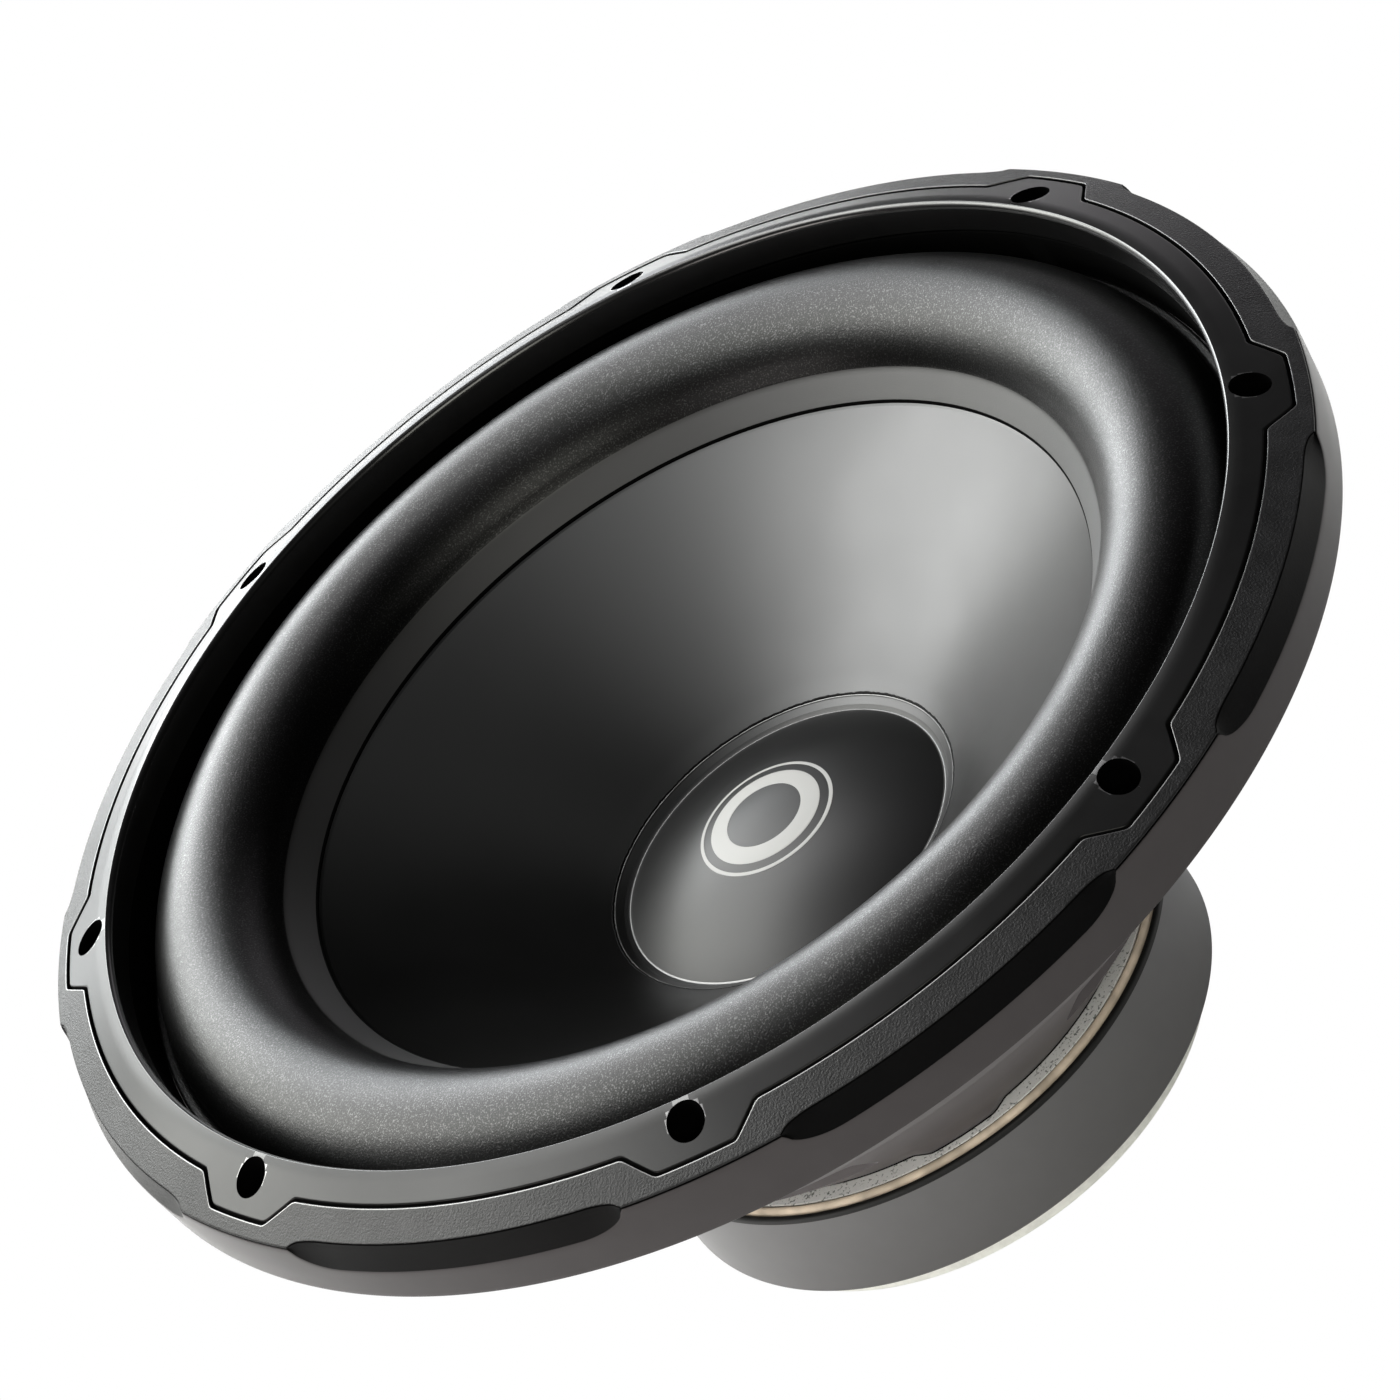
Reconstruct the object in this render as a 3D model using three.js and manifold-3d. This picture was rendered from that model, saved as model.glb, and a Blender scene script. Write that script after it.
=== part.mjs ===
// Twelve-inch car subwoofer driver, built from its separate pieces.
// Millimetres, with the speaker's axis on Z and its front towards +Z. Pieces are drawn
// from the mounting plane (the back of the basket's flange), then lifted so that the
// yoke's rear face stands on z = 0. Profiles are [r, z]; angles are in degrees.
import * as THREE from "three";
import { mergeVertices } from "three/addons/utils/BufferGeometryUtils.js";
import Module from "manifold-3d";

// ---------------------------------------------------------------- dimensions
const RING_FACETS = 40; // round the large rings
const MOTOR_FACETS = 30; // round the motor, coil, spider and dust cap

const BOLTS = 8;
const BOLT_CIRCLE_R = 150;
const BOLT_HOLE_R = 4.4;

const FLANGE_R = 159;
const FLANGE_T = 2;
const WALL_T = 1.6;
const CUTOUT_R = 139; // the basket's wall just below the flange
const CREASE_R = 122.7; // steep upper wall meets the lower cone
const CREASE_Z = -32;
const WALL_TOP_Z = -1.6; // where the wall starts to flare into the flange

const FOOT_WALL_R = 60; // the lower cone meets the foot
const FOOT_R = 65.4;
const FOOT_Z = -86.25;
const FOOT_T = 1.8;
const FOOT_TOP_Z = FOOT_Z + FOOT_T;
const FOOT_BORE_R = 34;

const ARMS = 6;
const ARM_PITCH = 360 / ARMS;
const ARM_0 = 245; // direction of the first arm
const LOBE_0 = 238.7; // direction of the foot's first lobe
const LOBE_R = 67.5;
const LOBE_HALF = { base: 10.75, tip: 7.55 };
const WINDOW_R = { inner: 88, outer: 117 };
const WINDOW_HALF = 14.5;
const WINDOW_CLIP = 4; // radial length of a clipped corner

const FACE_SLOPE = -0.43; // front face of gasket and trim, dz/dr
const FACE_Z = 21; // that face at the bolt circle
const LIP_R = 143.6;
const DECK_Z = 14; // step in the trim that the gasket sits on
const TRIM_REAR_Z = 2.15;
const TRIM_BORE_R = FLANGE_R + 0.4;
const TRIM_R = 162.2;
const SKIRT_R = 161;
const SEAM_R = 152.2; // centre line of the groove between gasket and trim
const SEAM_W = 1.2;
const TAB_R = 158.25;
const TAB_HALF = { base: 16.07, tip: 9.47 }; // half-widths of a gasket tab
const TAB_SPREAD = 0.389; // growth of a half-width per mm of outline offset
const NOTCH_HALF = 13.4;
const NOTCH_R = 159.8;
const NOTCH_Z = { floor: 12, top: 20 };

const ROLL = { r: 123, z: 3, radius: 17.4 }; // the surround's half roll
const SURROUND_T = 1.5;

const NECK = { r: 27.2, z: -50.4 }; // front face of the cone at its neck
const CONE_SLOPE = 0.6997;
const EYELET_R = 36; // distance from the axis
const EYELET_ANGLE = 14.4; // to either side of the terminal
const CAP_FLANGE_R = 44.4;
const CAP_R = 41.1;
const CAP_TOP_Z = -29.1;
const CAP_RIM_Z = -40;
const CAP_T = 1;

const FORMER_R = { inner: 25.45, outer: 25.95 };
const FORMER_TOP_Z = -47.5;
const COIL_R = { inner: 26.05, outer: 27.4 };
const COIL_Z = { rear: -102.2, front: -78.2 };
const SPIDER_Z = -60;
const SPIDER_WAVE = { thickness: 0.8, height: 1.9, rolls: 3, inner: 31, outer: 73 };

const GLUE_GAP = 0.05; // at each glued face of plate and magnet
const PLATE_R = 68.7;
const PLATE_BORE_R = 28.2;
const PLATE_Z = { rear: -94.2, front: FOOT_Z };
const MAGNET_R = { inner: 31, outer: 69 };
const MAGNET_Z = { rear: -114.2, front: PLATE_Z.rear };
const YOKE_R = 67.6;
const YOKE_Z = -120.75;
const POLE_R = 24.8;
const VENT_R = 10.5;
const BOOT_R = 72.6;

const RIVETS = 6;
const RIVET_CIRCLE_R = 47.5;
const RIVET_HOLE_R = 2.7;
const RIVET_R = 2.2;
const RIVET_HEAD = { rear: 4.6, front: 3.2, height: 1.9 };

const TERMINAL_ANGLE = 65; // direction of the arm that carries the terminal
const TERMINAL_R = 104;
const POST_X = 8.5;
const SCREW_X = 20.3;
const SCREW_HOLE_R = 1.9;
const SPRING = { coils: 3, radius: 3.3, wire: 0.42, start: 3.85, length: 4.6 };
const BRAID_R = 0.9;

// ----------------------------------------------------------------- materials
const FINISH = {
  basket: { color: 0x2b2a2b, roughness: 0.45, metalness: 0.2 },
  trim: { color: 0x1c1c1d, roughness: 0.55 },
  gasket: { color: 0x303133, roughness: 0.4 },
  surround: { color: 0x252628, roughness: 0.5 },
  eyelet: { color: 0xb08a4a, roughness: 0.35, metalness: 1 },
  cone: { color: 0x1f2021, roughness: 0.6 },
  dustCap: { color: 0x232425, roughness: 0.5 },
  former: { color: 0x3a3632, roughness: 0.45, metalness: 0.2 },
  winding: { color: 0xa7622f, roughness: 0.35, metalness: 0.9 },
  neckGlue: { color: 0x8c7a55, roughness: 0.4 },
  spider: { color: 0x6b5f3f, roughness: 0.9 },
  landingRing: { color: 0x1a1a1a, roughness: 0.6 },
  rivet: { color: 0xaab0ae, roughness: 0.4, metalness: 1 },
  topPlate: { color: 0xa6b0ab, roughness: 0.45, metalness: 0.7 },
  ferrite: { color: 0x26272a, roughness: 0.8 },
  yoke: { color: 0xc9cdca, roughness: 0.35, metalness: 0.9 },
  boot: { color: 0x2f3133, roughness: 0.55 },
  motorGlue: { color: 0xb09a78, roughness: 0.35 },
  screen: { color: 0x3a3c3d, roughness: 0.4, metalness: 0.8 },
  terminal: { color: 0x161616, roughness: 0.45 },
  contact: { color: 0xd0c9b4, roughness: 0.3, metalness: 1 },
  negative: { color: 0x141414, roughness: 0.35 },
  positive: { color: 0xb01818, roughness: 0.35 },
  spring: { color: 0xb8bcc0, roughness: 0.3, metalness: 1 },
  lead: { color: 0x9a7b4f, roughness: 0.6, metalness: 0.6 },
  screw: { color: 0x9ba0a3, roughness: 0.35, metalness: 1 },
};

// ------------------------------------------------------------------- helpers
const wasm = await Module();
wasm.setup();

const rad = THREE.MathUtils.degToRad;
const polar = (r, angle) => [r * Math.cos(rad(angle)), r * Math.sin(rad(angle))];
// directions of evenly spaced features
const directions = (count, first = 0) =>
  Array.from({ length: count }, (_, i) => first + (360 / count) * i);
const circle = (count, r, first) => directions(count, first).map((angle) => polar(r, angle));
const join = (solids) => solids.reduce((a, b) => a.add(b));
const cut = (body, tools) => tools.reduce((a, b) => a.subtract(b), body);

// three.js geometry -> solid, turned right side out if its faces point inwards
function solid(source) {
  source.deleteAttribute("normal");
  source.deleteAttribute("uv");
  const geometry = mergeVertices(source, 1e-3);
  const corners = new Uint32Array(geometry.index.array);
  const build = () =>
    new wasm.Manifold(
      new wasm.Mesh({
        numProp: 3,
        vertProperties: geometry.attributes.position.array,
        triVerts: corners,
      }),
    );
  const body = build();
  if (body.volume() > 0) return body;
  for (let i = 0; i < corners.length; i += 3) {
    [corners[i + 1], corners[i + 2]] = [corners[i + 2], corners[i + 1]];
  }
  return build();
}

function geometryOf(body) {
  const mesh = body.getMesh();
  const geometry = new THREE.BufferGeometry();
  const positions = new Float32Array(mesh.vertProperties);
  geometry.setAttribute("position", new THREE.BufferAttribute(positions, 3));
  geometry.setIndex(new THREE.BufferAttribute(new Uint32Array(mesh.triVerts), 1));
  geometry.computeVertexNormals();
  return geometry;
}

// an [r, z] profile turned about Z, closed unless both its ends are on the axis
function turned(profile, facets) {
  const points = profile.map(([r, z]) => new THREE.Vector2(r, z));
  const onAxis = profile[0][0] === 0 && profile.at(-1)[0] === 0;
  if (!onAxis) points.push(points[0].clone());
  return solid(new THREE.LatheGeometry(points, facets).rotateX(Math.PI / 2));
}

const tube = (inner, outer, z0, z1) =>
  turned([[inner, z0], [outer, z0], [outer, z1], [inner, z1]], MOTOR_FACETS);

const shapeOf = (points) => new THREE.Shape(points.map(([x, y]) => new THREE.Vector2(x, y)));

function prism(outline, z0, z1) {
  const options = { depth: z1 - z0, bevelEnabled: false, steps: 1 };
  return solid(new THREE.ExtrudeGeometry(shapeOf(outline), options).translate(0, 0, z0));
}

// a small polygon section drawn along a path
const strand = (radius, sides, extrudePath, steps) =>
  new THREE.ExtrudeGeometry(shapeOf(circle(sides, radius)), {
    steps,
    bevelEnabled: false,
    extrudePath,
  });

const frustum = (rearR, frontR, [z0, z1], [x, y], facets) =>
  solid(
    new THREE.CylinderGeometry(frontR, rearR, z1 - z0, facets)
      .rotateX(Math.PI / 2)
      .translate(x, y, (z0 + z1) / 2),
  );
const rod = (r, zRange, centre, facets) => frustum(r, r, zRange, centre, facets);

const block = ([x0, x1], [y0, y1], [z0, z1]) =>
  solid(
    new THREE.BoxGeometry(x1 - x0, y1 - y0, z1 - z0).translate(
      (x0 + x1) / 2,
      (y0 + y1) / 2,
      (z0 + z1) / 2,
    ),
  );

const speaker = new THREE.Group();
function addGeometry(name, geometry, finish) {
  const mesh = new THREE.Mesh(geometry, new THREE.MeshStandardMaterial(finish));
  mesh.name = name;
  speaker.add(mesh);
}
const add = (name, body, finish) => addGeometry(name, geometryOf(body), finish);

const boltHoles = (z0, z1) =>
  circle(BOLTS, BOLT_CIRCLE_R).map((at) => rod(BOLT_HOLE_R, [z0, z1], at, 10));
const rivetCentres = circle(RIVETS, RIVET_CIRCLE_R, ARM_0);
const rivetHoles = (z0, z1) => rivetCentres.map((at) => rod(RIVET_HOLE_R, [z0, z1], at, 8));

// ------------------------------------------- terminal frame on its basket arm
// local x runs round the arm, y up its slope, z straight out of it
const wallSlope = new THREE.Vector2(CREASE_R - FOOT_WALL_R, CREASE_Z - FOOT_TOP_Z).normalize();
const wallR = (z) => CREASE_R + (z - CREASE_Z) * (wallSlope.x / wallSlope.y);

function terminalFrame() {
  const radial = new THREE.Vector3(...polar(1, TERMINAL_ANGLE), 0);
  const front = new THREE.Vector3(0, 0, 1);
  const yAxis = radial.clone().multiplyScalar(wallSlope.x).addScaledVector(front, wallSlope.y);
  const zAxis = radial.clone().multiplyScalar(wallSlope.y).addScaledVector(front, -wallSlope.x);
  const xAxis = yAxis.clone().cross(zAxis);
  const z = CREASE_Z - (CREASE_R - TERMINAL_R) * (wallSlope.y / wallSlope.x);
  return new THREE.Matrix4()
    .makeBasis(xAxis, yAxis, zAxis)
    .setPosition(...polar(TERMINAL_R, TERMINAL_ANGLE), z);
}
const toTerminal = terminalFrame();
const placed = (body) => body.transform(toTerminal.elements);
const terminalPoint = (x, y, z) => new THREE.Vector3(x, y, z).applyMatrix4(toTerminal);
const screwHoles = (z0, z1) =>
  [-SCREW_X, SCREW_X].map((x) => rod(SCREW_HOLE_R, [z0, z1], [x, 0], 10));

// -------------------------------------------------------------------- basket
// rounded lobe on the foot's rim
function footLobe(angle) {
  const { base, tip } = LOBE_HALF;
  const outline = [
    polar(FOOT_R - 3, angle - base),
    polar(FOOT_R - 0.1, angle - base),
    polar(LOBE_R, angle - tip),
    polar(LOBE_R + 0.1, angle),
    polar(LOBE_R, angle + tip),
    polar(FOOT_R - 0.1, angle + base),
    polar(FOOT_R - 3, angle + base),
  ];
  return prism(outline, FOOT_Z, FOOT_TOP_Z);
}

// opening between two arms, with clipped corners
function armWindow(angle) {
  const { inner, outer } = WINDOW_R;
  const outline = [
    ...[-1, -0.5, 0, 0.5, 1].map((t) => polar(outer, angle + t * (WINDOW_HALF - 2.2))),
    polar(outer - WINDOW_CLIP, angle + WINDOW_HALF),
    polar(inner + WINDOW_CLIP, angle + WINDOW_HALF - 1),
    ...[1, 0, -1].map((t) => polar(inner, angle + t * (WINDOW_HALF - 4))),
    polar(inner + WINDOW_CLIP, angle - WINDOW_HALF + 1),
    polar(outer - WINDOW_CLIP, angle - WINDOW_HALF),
  ];
  return prism(outline, -72, -20);
}

function basket() {
  const radialT = WALL_T / Math.abs(wallSlope.y); // sheet thickness along r
  const innerBendZ = FOOT_TOP_Z + 1.5;
  const outerBendZ = FOOT_TOP_Z + 1.6;
  const innerBendR = wallR(innerBendZ) - radialT;
  const shell = turned(
    [
      [FLANGE_R, 0],
      [FLANGE_R, FLANGE_T],
      [138.5, FLANGE_T],
      [CUTOUT_R - 2.1, 0.2],
      [CREASE_R - 2.1, CREASE_Z + 0.7],
      [innerBendR, innerBendZ],
      [innerBendR - 2.2, FOOT_TOP_Z],
      [FOOT_BORE_R, FOOT_TOP_Z],
      [FOOT_BORE_R, FOOT_Z],
      [FOOT_R, FOOT_Z],
      [FOOT_R, FOOT_TOP_Z],
      [FOOT_WALL_R + 1.2, FOOT_TOP_Z],
      [wallR(outerBendZ), outerBendZ],
      [CREASE_R, CREASE_Z],
      [CUTOUT_R, WALL_TOP_Z],
      [CUTOUT_R + 1.6, 0],
    ],
    RING_FACETS,
  );
  return cut(join([shell, ...directions(ARMS, LOBE_0).map(footLobe)]), [
    ...directions(ARMS, ARM_0 + ARM_PITCH / 2).map(armWindow),
    ...rivetHoles(FOOT_Z - 2, FOOT_Z + 6),
    ...boltHoles(-2, 5),
    placed(block([-12.5, 12.5], [-3, 3], [-6, 3])), // slot for the solder tabs
    ...screwHoles(-8, 3).map(placed),
  ]);
}

// ------------------------------------------------------ trim ring and gasket
const faceZ = (r) => FACE_Z + FACE_SLOPE * (r - BOLT_CIRCLE_R);

// plan outline of the gasket: a ring with a tab round each screw hole
function gasketOutline(offset) {
  const base = SEAM_R + offset;
  const tip = TAB_R + offset;
  const baseHalf = TAB_HALF.base + TAB_SPREAD * offset;
  const tipHalf = TAB_HALF.tip + TAB_SPREAD * offset;
  return directions(BOLTS).flatMap((angle) => {
    const at = (r, side) => {
      const turn = THREE.MathUtils.radToDeg(Math.atan2(side, BOLT_CIRCLE_R));
      return polar(r, angle + turn);
    };
    return [
      at(base, -baseHalf),
      at(tip, -tipHalf),
      at(tip, 0),
      at(tip, tipHalf),
      at(base, baseHalf),
      ...[11.5, 17, 22.5, 28, 33.5].map((turn) => polar(base, angle + turn)),
    ];
  });
}

function trimRing() {
  const ring = turned(
    [
      [SKIRT_R, 0],
      [TRIM_R, faceZ(TRIM_R)],
      [LIP_R, faceZ(LIP_R)],
      [LIP_R, TRIM_REAR_Z],
      [TRIM_BORE_R, TRIM_REAR_Z],
      [TRIM_BORE_R, 0],
    ],
    RING_FACETS,
  );
  const rimCorner = turned(
    [
      [NOTCH_R, faceZ(NOTCH_R) - 0.1],
      [NOTCH_R, NOTCH_Z.top],
      [TRIM_R + 3, NOTCH_Z.top],
      [TRIM_R + 3, NOTCH_Z.floor],
      [TRIM_R - 0.4, NOTCH_Z.floor],
    ],
    RING_FACETS,
  );
  // notch in the outer front edge, midway between two screws
  const notch = (angle) => {
    const turns = [-1, -0.5, 0, 0.5, 1].map((t) => t * NOTCH_HALF);
    const sector = [
      ...turns.map((turn) => polar(172, angle + turn)),
      ...turns.map((turn) => polar(150, angle - turn)),
    ];
    return rimCorner.intersect(prism(sector, 5, 30));
  };
  return cut(ring, [
    prism(gasketOutline(SEAM_W / 2), DECK_Z, 40),
    ...directions(BOLTS, 180 / BOLTS).map(notch),
    ...boltHoles(-2, 30),
  ]);
}

function gasketRing() {
  const rearZ = DECK_Z + 0.15;
  const lipZ = faceZ(LIP_R);
  const blankR = TAB_R + 3; // the plan outline trims it back
  const blank = turned(
    [
      [LIP_R, rearZ],
      [LIP_R, lipZ - 2.2],
      [LIP_R + 0.6, lipZ - 1.2],
      [LIP_R + 2, lipZ - 1.0],
      [blankR, faceZ(blankR)],
      [blankR, rearZ],
    ],
    RING_FACETS,
  );
  const outline = prism(gasketOutline(-SEAM_W / 2), DECK_Z - 4, 40);
  return cut(blank.intersect(outline), boltHoles(0, 40));
}

// ------------------------------------------------------------- moving system
function surround() {
  const arc = (radius, from, to, steps) =>
    Array.from({ length: steps + 1 }, (_, i) => {
      const [r, z] = polar(radius, from + ((to - from) * i) / steps);
      return [ROLL.r + r, ROLL.z + z];
    });
  return turned(
    [
      [143.1, FLANGE_T + 0.2],
      [143.1, FLANGE_T + 1.6],
      [141, FLANGE_T + 1.6],
      ...arc(ROLL.radius, 2, 166, 7),
      [100.2, 1.9],
      [100.0, 1.0],
      [105.1, 5.9],
      ...arc(ROLL.radius - SURROUND_T, 162, 8, 5),
      [138.6, FLANGE_T + 0.2],
    ],
    RING_FACETS,
  );
}

const eyeletAngle = (side) => TERMINAL_ANGLE + side * EYELET_ANGLE;

function leadEyelet(side) {
  const centre = polar(EYELET_R, eyeletAngle(side));
  return rod(1.7, [-49.4, -42.6], centre, 10).add(rod(2.7, [-50.0, -48.4], centre, 10));
}

function cone() {
  const body = turned(
    [
      [26.5, -55.5],
      [28.2, -55.5],
      [28.2, -51.6],
      [100.6, -0.95],
      [105.8, 4.1],
      [105.1, 5.2],
      [99.8, 0.4],
      [NECK.r, NECK.z],
      [26.5, -50.9],
    ],
    RING_FACETS,
  );
  const hole = (side) => rod(2.1, [-60, -30], polar(EYELET_R, eyeletAngle(side)), 10);
  return cut(body, [-1, 1].map(hole));
}

function dustCap() {
  const coneZ = (r) => NECK.z + (r - NECK.r) * CONE_SLOPE;
  const rise = CAP_TOP_Z - CAP_RIM_Z;
  const sphereR = (CAP_R ** 2 + rise ** 2) / (2 * rise);
  const dome = (r, depth) => [
    r,
    CAP_TOP_Z - depth - sphereR + Math.sqrt(sphereR * sphereR - r * r),
  ];
  return turned(
    [
      ...[0, 13, 24, 33, CAP_R].map((r) => dome(r, 0)),
      [CAP_FLANGE_R, coneZ(CAP_FLANGE_R) + 0.6],
      [CAP_FLANGE_R, coneZ(CAP_FLANGE_R) + 0.2],
      [CAP_R + 0.2, coneZ(CAP_R) + 0.25],
      ...[32.6, 23.6, 12.8, 0].map((r) => dome(r, CAP_T)),
    ],
    MOTOR_FACETS,
  );
}

// fillet of glue where the former enters the cone's neck
const neckAdhesive = () =>
  turned([[26.15, -50.2], [29.6, -48.3], [26.15, -47.6]], MOTOR_FACETS);

// corrugated centring disc
function spider() {
  const { thickness, height, rolls, inner, outer } = SPIDER_WAVE;
  const steps = rolls * 4;
  const wave = []; // both ends, and each crest and trough between them
  for (let i = 0; i <= steps; i++) {
    if (i % 2 === 0 && i > 0 && i < steps) continue;
    const z = SPIDER_Z + 0.5 + height * Math.sin((i * Math.PI) / 2);
    wave.push([inner + ((outer - inner) * i) / steps, z]);
  }
  const rimZ = SPIDER_Z + 0.15;
  return turned(
    [
      [84.6, rimZ],
      [75, rimZ],
      ...wave.toReversed().map(([r, z]) => [r, z - thickness / 2]),
      [28.5, SPIDER_Z + 0.1],
      [26.45, SPIDER_Z - 1.4],
      [26.45, SPIDER_Z + 2.4],
      [27.3, SPIDER_Z + 2.4],
      [28.6, SPIDER_Z + 1.0],
      ...wave.map(([r, z]) => [r, z + thickness / 2]),
      [75, rimZ + thickness],
      [84.6, rimZ + thickness],
    ],
    MOTOR_FACETS,
  );
}

const landingRing = () =>
  turned(
    [
      [75, SPIDER_Z - 7],
      [77.7, SPIDER_Z - 7],
      [85.0, SPIDER_Z - 1.1],
      [85.0, SPIDER_Z],
      [75, SPIDER_Z],
    ],
    RING_FACETS,
  );

// --------------------------------------------------------------------- motor
function basketRivet(centre) {
  const headZ = FOOT_TOP_Z + 0.1;
  const headRange = [headZ, headZ + RIVET_HEAD.height];
  return rod(RIVET_R, [PLATE_Z.rear + 0.6, FOOT_TOP_Z + 0.5], centre, 8).add(
    frustum(RIVET_HEAD.rear, RIVET_HEAD.front, headRange, centre, 10),
  );
}

function topPlate() {
  const plate = turned(
    [
      [PLATE_BORE_R, PLATE_Z.rear + GLUE_GAP],
      [PLATE_R, PLATE_Z.rear + GLUE_GAP],
      [PLATE_R, PLATE_Z.front - 0.6],
      [PLATE_R - 0.5, PLATE_Z.front - GLUE_GAP],
      [PLATE_BORE_R, PLATE_Z.front - GLUE_GAP],
    ],
    MOTOR_FACETS,
  );
  return cut(plate, rivetHoles(PLATE_Z.rear - 2, PLATE_Z.front + 2));
}

// back plate and vented pole in one
const yoke = () =>
  turned(
    [
      [14.5, YOKE_Z],
      [YOKE_R - 1, YOKE_Z],
      [YOKE_R, YOKE_Z + 1],
      [YOKE_R, MAGNET_Z.rear],
      [POLE_R, MAGNET_Z.rear],
      [POLE_R, -86],
      [POLE_R - 1, -85],
      [VENT_R + 1.5, -85],
      [VENT_R, -86.5],
      [VENT_R, YOKE_Z + 4],
    ],
    MOTOR_FACETS,
  );

const magnetBoot = () =>
  turned(
    [
      [69.4, -114.4],
      [71.9, -114.4],
      [BOOT_R, -113.6],
      [BOOT_R, -88.1],
      [71.9, -87.3],
      [70.95, -87.3],
      [70.95, -95],
      [69.4, -95],
    ],
    MOTOR_FACETS,
  );

const adhesiveBead = () =>
  turned(
    [[69.05, -93.8], [70.6, -93.8], [70.6, -87.5], [69.7, -86.7], [69.05, -87]],
    MOTOR_FACETS,
  );

// perforated disc across the vent
function ventScreen() {
  const disc = rod(VENT_R - 0.35, [YOKE_Z + 4.4, YOKE_Z + 5.2], [0, 0], 24);
  const centres = [[0, 0], ...circle(6, 5.6)];
  return cut(disc, centres.map((at) => rod(2, [YOKE_Z, YOKE_Z + 9], at, 8)));
}

// ------------------------------------------------------------------ terminal
function terminalBlock() {
  // the basket's outside with a small gap, which shapes the block's back
  const gap = 0.6;
  const rearZ = -80;
  const envelope = turned(
    [
      [0, rearZ],
      [wallR(rearZ) + gap, rearZ],
      [CREASE_R + gap, CREASE_Z],
      [CUTOUT_R + gap, WALL_TOP_Z],
      [0, WALL_TOP_Z],
    ],
    RING_FACETS,
  );
  const posts = [-POST_X, POST_X];
  const body = join([
    block([-16.5, 16.5], [-8.5, 8.5], [-3, 12]),
    block([-24.5, 24.5], [-5, 5], [-3, 3.2]),
    ...posts.map((x) => rod(6.1, [11, 14.6], [x, 0], 16)),
  ]);
  // a round socket with a slot in its floor for the solder tab
  const sockets = posts.flatMap((x) => [
    rod(4.75, [2.4, 30], [x, 0], 16),
    block([x - 2.2, x + 2.2], [-1, 1], [-9, 5]),
  ]);
  return placed(cut(body, [...sockets, ...screwHoles(-9, 9)])).subtract(envelope);
}

// solder tab through the arm with a round contact at the bottom of the socket
const contact = (x) =>
  placed(
    rod(4.1, [2.6, 3.2], [x, 0], 12).add(block([x - 1.6, x + 1.6], [-0.4, 0.4], [-9, 3])),
  );

// push post with a cross hole for the wire
function button(x) {
  const crossHole = new THREE.CylinderGeometry(1.4, 1.4, 20, 8).translate(x, 0, 16.2);
  const post = rod(4.2, [9, 17.8], [x, 0], 16).add(rod(5.3, [17.7, 19.8], [x, 0], 16));
  return placed(post.subtract(solid(crossHole)));
}

class SpringPath extends THREE.Curve {
  constructor(x) {
    super();
    this.x = x;
  }
  getPoint(t, target = new THREE.Vector3()) {
    const [x, y] = polar(SPRING.radius, t * SPRING.coils * 360);
    return target.set(this.x + x, y, SPRING.start + t * SPRING.length);
  }
}
// coil spring under the post
const spring = (x) => placed(solid(strand(SPRING.wire, 4, new SpringPath(x), 27)));

// braided lead from the solder tab to the cone's eyelet
function leadGeometry(side) {
  const x = side * POST_X;
  const angle = eyeletAngle(side);
  const path = new THREE.CatmullRomCurve3([
    terminalPoint(x, 0, -10),
    terminalPoint(x * 1.15, -6, -17),
    new THREE.Vector3(...polar(58, TERMINAL_ANGLE + side * 10), -50.5),
    new THREE.Vector3(...polar(41, angle), -52.6),
    new THREE.Vector3(...polar(EYELET_R, angle), -51.4),
  ]);
  return strand(BRAID_R, 6, path, 14);
}

function terminalScrew(x) {
  const screw = rod(1.4, [-5, 3.6], [x, 0], 10).add(rod(3.2, [3.5, 5.2], [x, 0], 12));
  return placed(screw.subtract(block([x - 4, x + 4], [-0.4, 0.4], [4.6, 6])));
}

// ------------------------------------------------------------------ assembly
const POLES = [[-1, "negative"], [1, "positive"]]; // [side of the terminal, name]

add("basket", basket(), FINISH.basket);
add("trim_ring", trimRing(), FINISH.trim);
add("gasket_ring", gasketRing(), FINISH.gasket);

add("surround", surround(), FINISH.surround);
for (const [side, pole] of POLES) add("lead_eyelet_" + pole, leadEyelet(side), FINISH.eyelet);
add("cone", cone(), FINISH.cone);
add("dust_cap", dustCap(), FINISH.dustCap);
const former = tube(FORMER_R.inner, FORMER_R.outer, COIL_Z.rear - 0.8, FORMER_TOP_Z);
add("voice_coil_former", former, FINISH.former);
const winding = tube(COIL_R.inner, COIL_R.outer, COIL_Z.rear, COIL_Z.front);
add("voice_coil_winding", winding, FINISH.winding);
add("neck_adhesive", neckAdhesive(), FINISH.neckGlue);
add("spider", spider(), FINISH.spider);
add("spider_landing_ring", landingRing(), FINISH.landingRing);

rivetCentres.forEach((at, i) => add(`basket_rivet_${i + 1}`, basketRivet(at), FINISH.rivet));
add("top_plate", topPlate(), FINISH.topPlate);
const magnet = tube(
  MAGNET_R.inner,
  MAGNET_R.outer,
  MAGNET_Z.rear + GLUE_GAP,
  MAGNET_Z.front - GLUE_GAP,
);
add("ferrite_magnet", magnet, FINISH.ferrite);
add("yoke", yoke(), FINISH.yoke);
add("magnet_boot", magnetBoot(), FINISH.boot);
add("adhesive_bead", adhesiveBead(), FINISH.motorGlue);
add("vent_screen", ventScreen(), FINISH.screen);

add("terminal_block", terminalBlock(), FINISH.terminal);
for (const [side, pole] of POLES) {
  const x = side * POST_X;
  add("terminal_contact_" + pole, contact(x), FINISH.contact);
  add("terminal_button_" + pole, button(x), FINISH[pole]);
  add("terminal_spring_" + pole, spring(x), FINISH.spring);
  addGeometry("lead_" + pole, leadGeometry(side), FINISH.lead);
}
[-SCREW_X, SCREW_X].forEach((x, i) =>
  add(`terminal_screw_${i + 1}`, terminalScrew(x), FINISH.screw),
);

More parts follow.
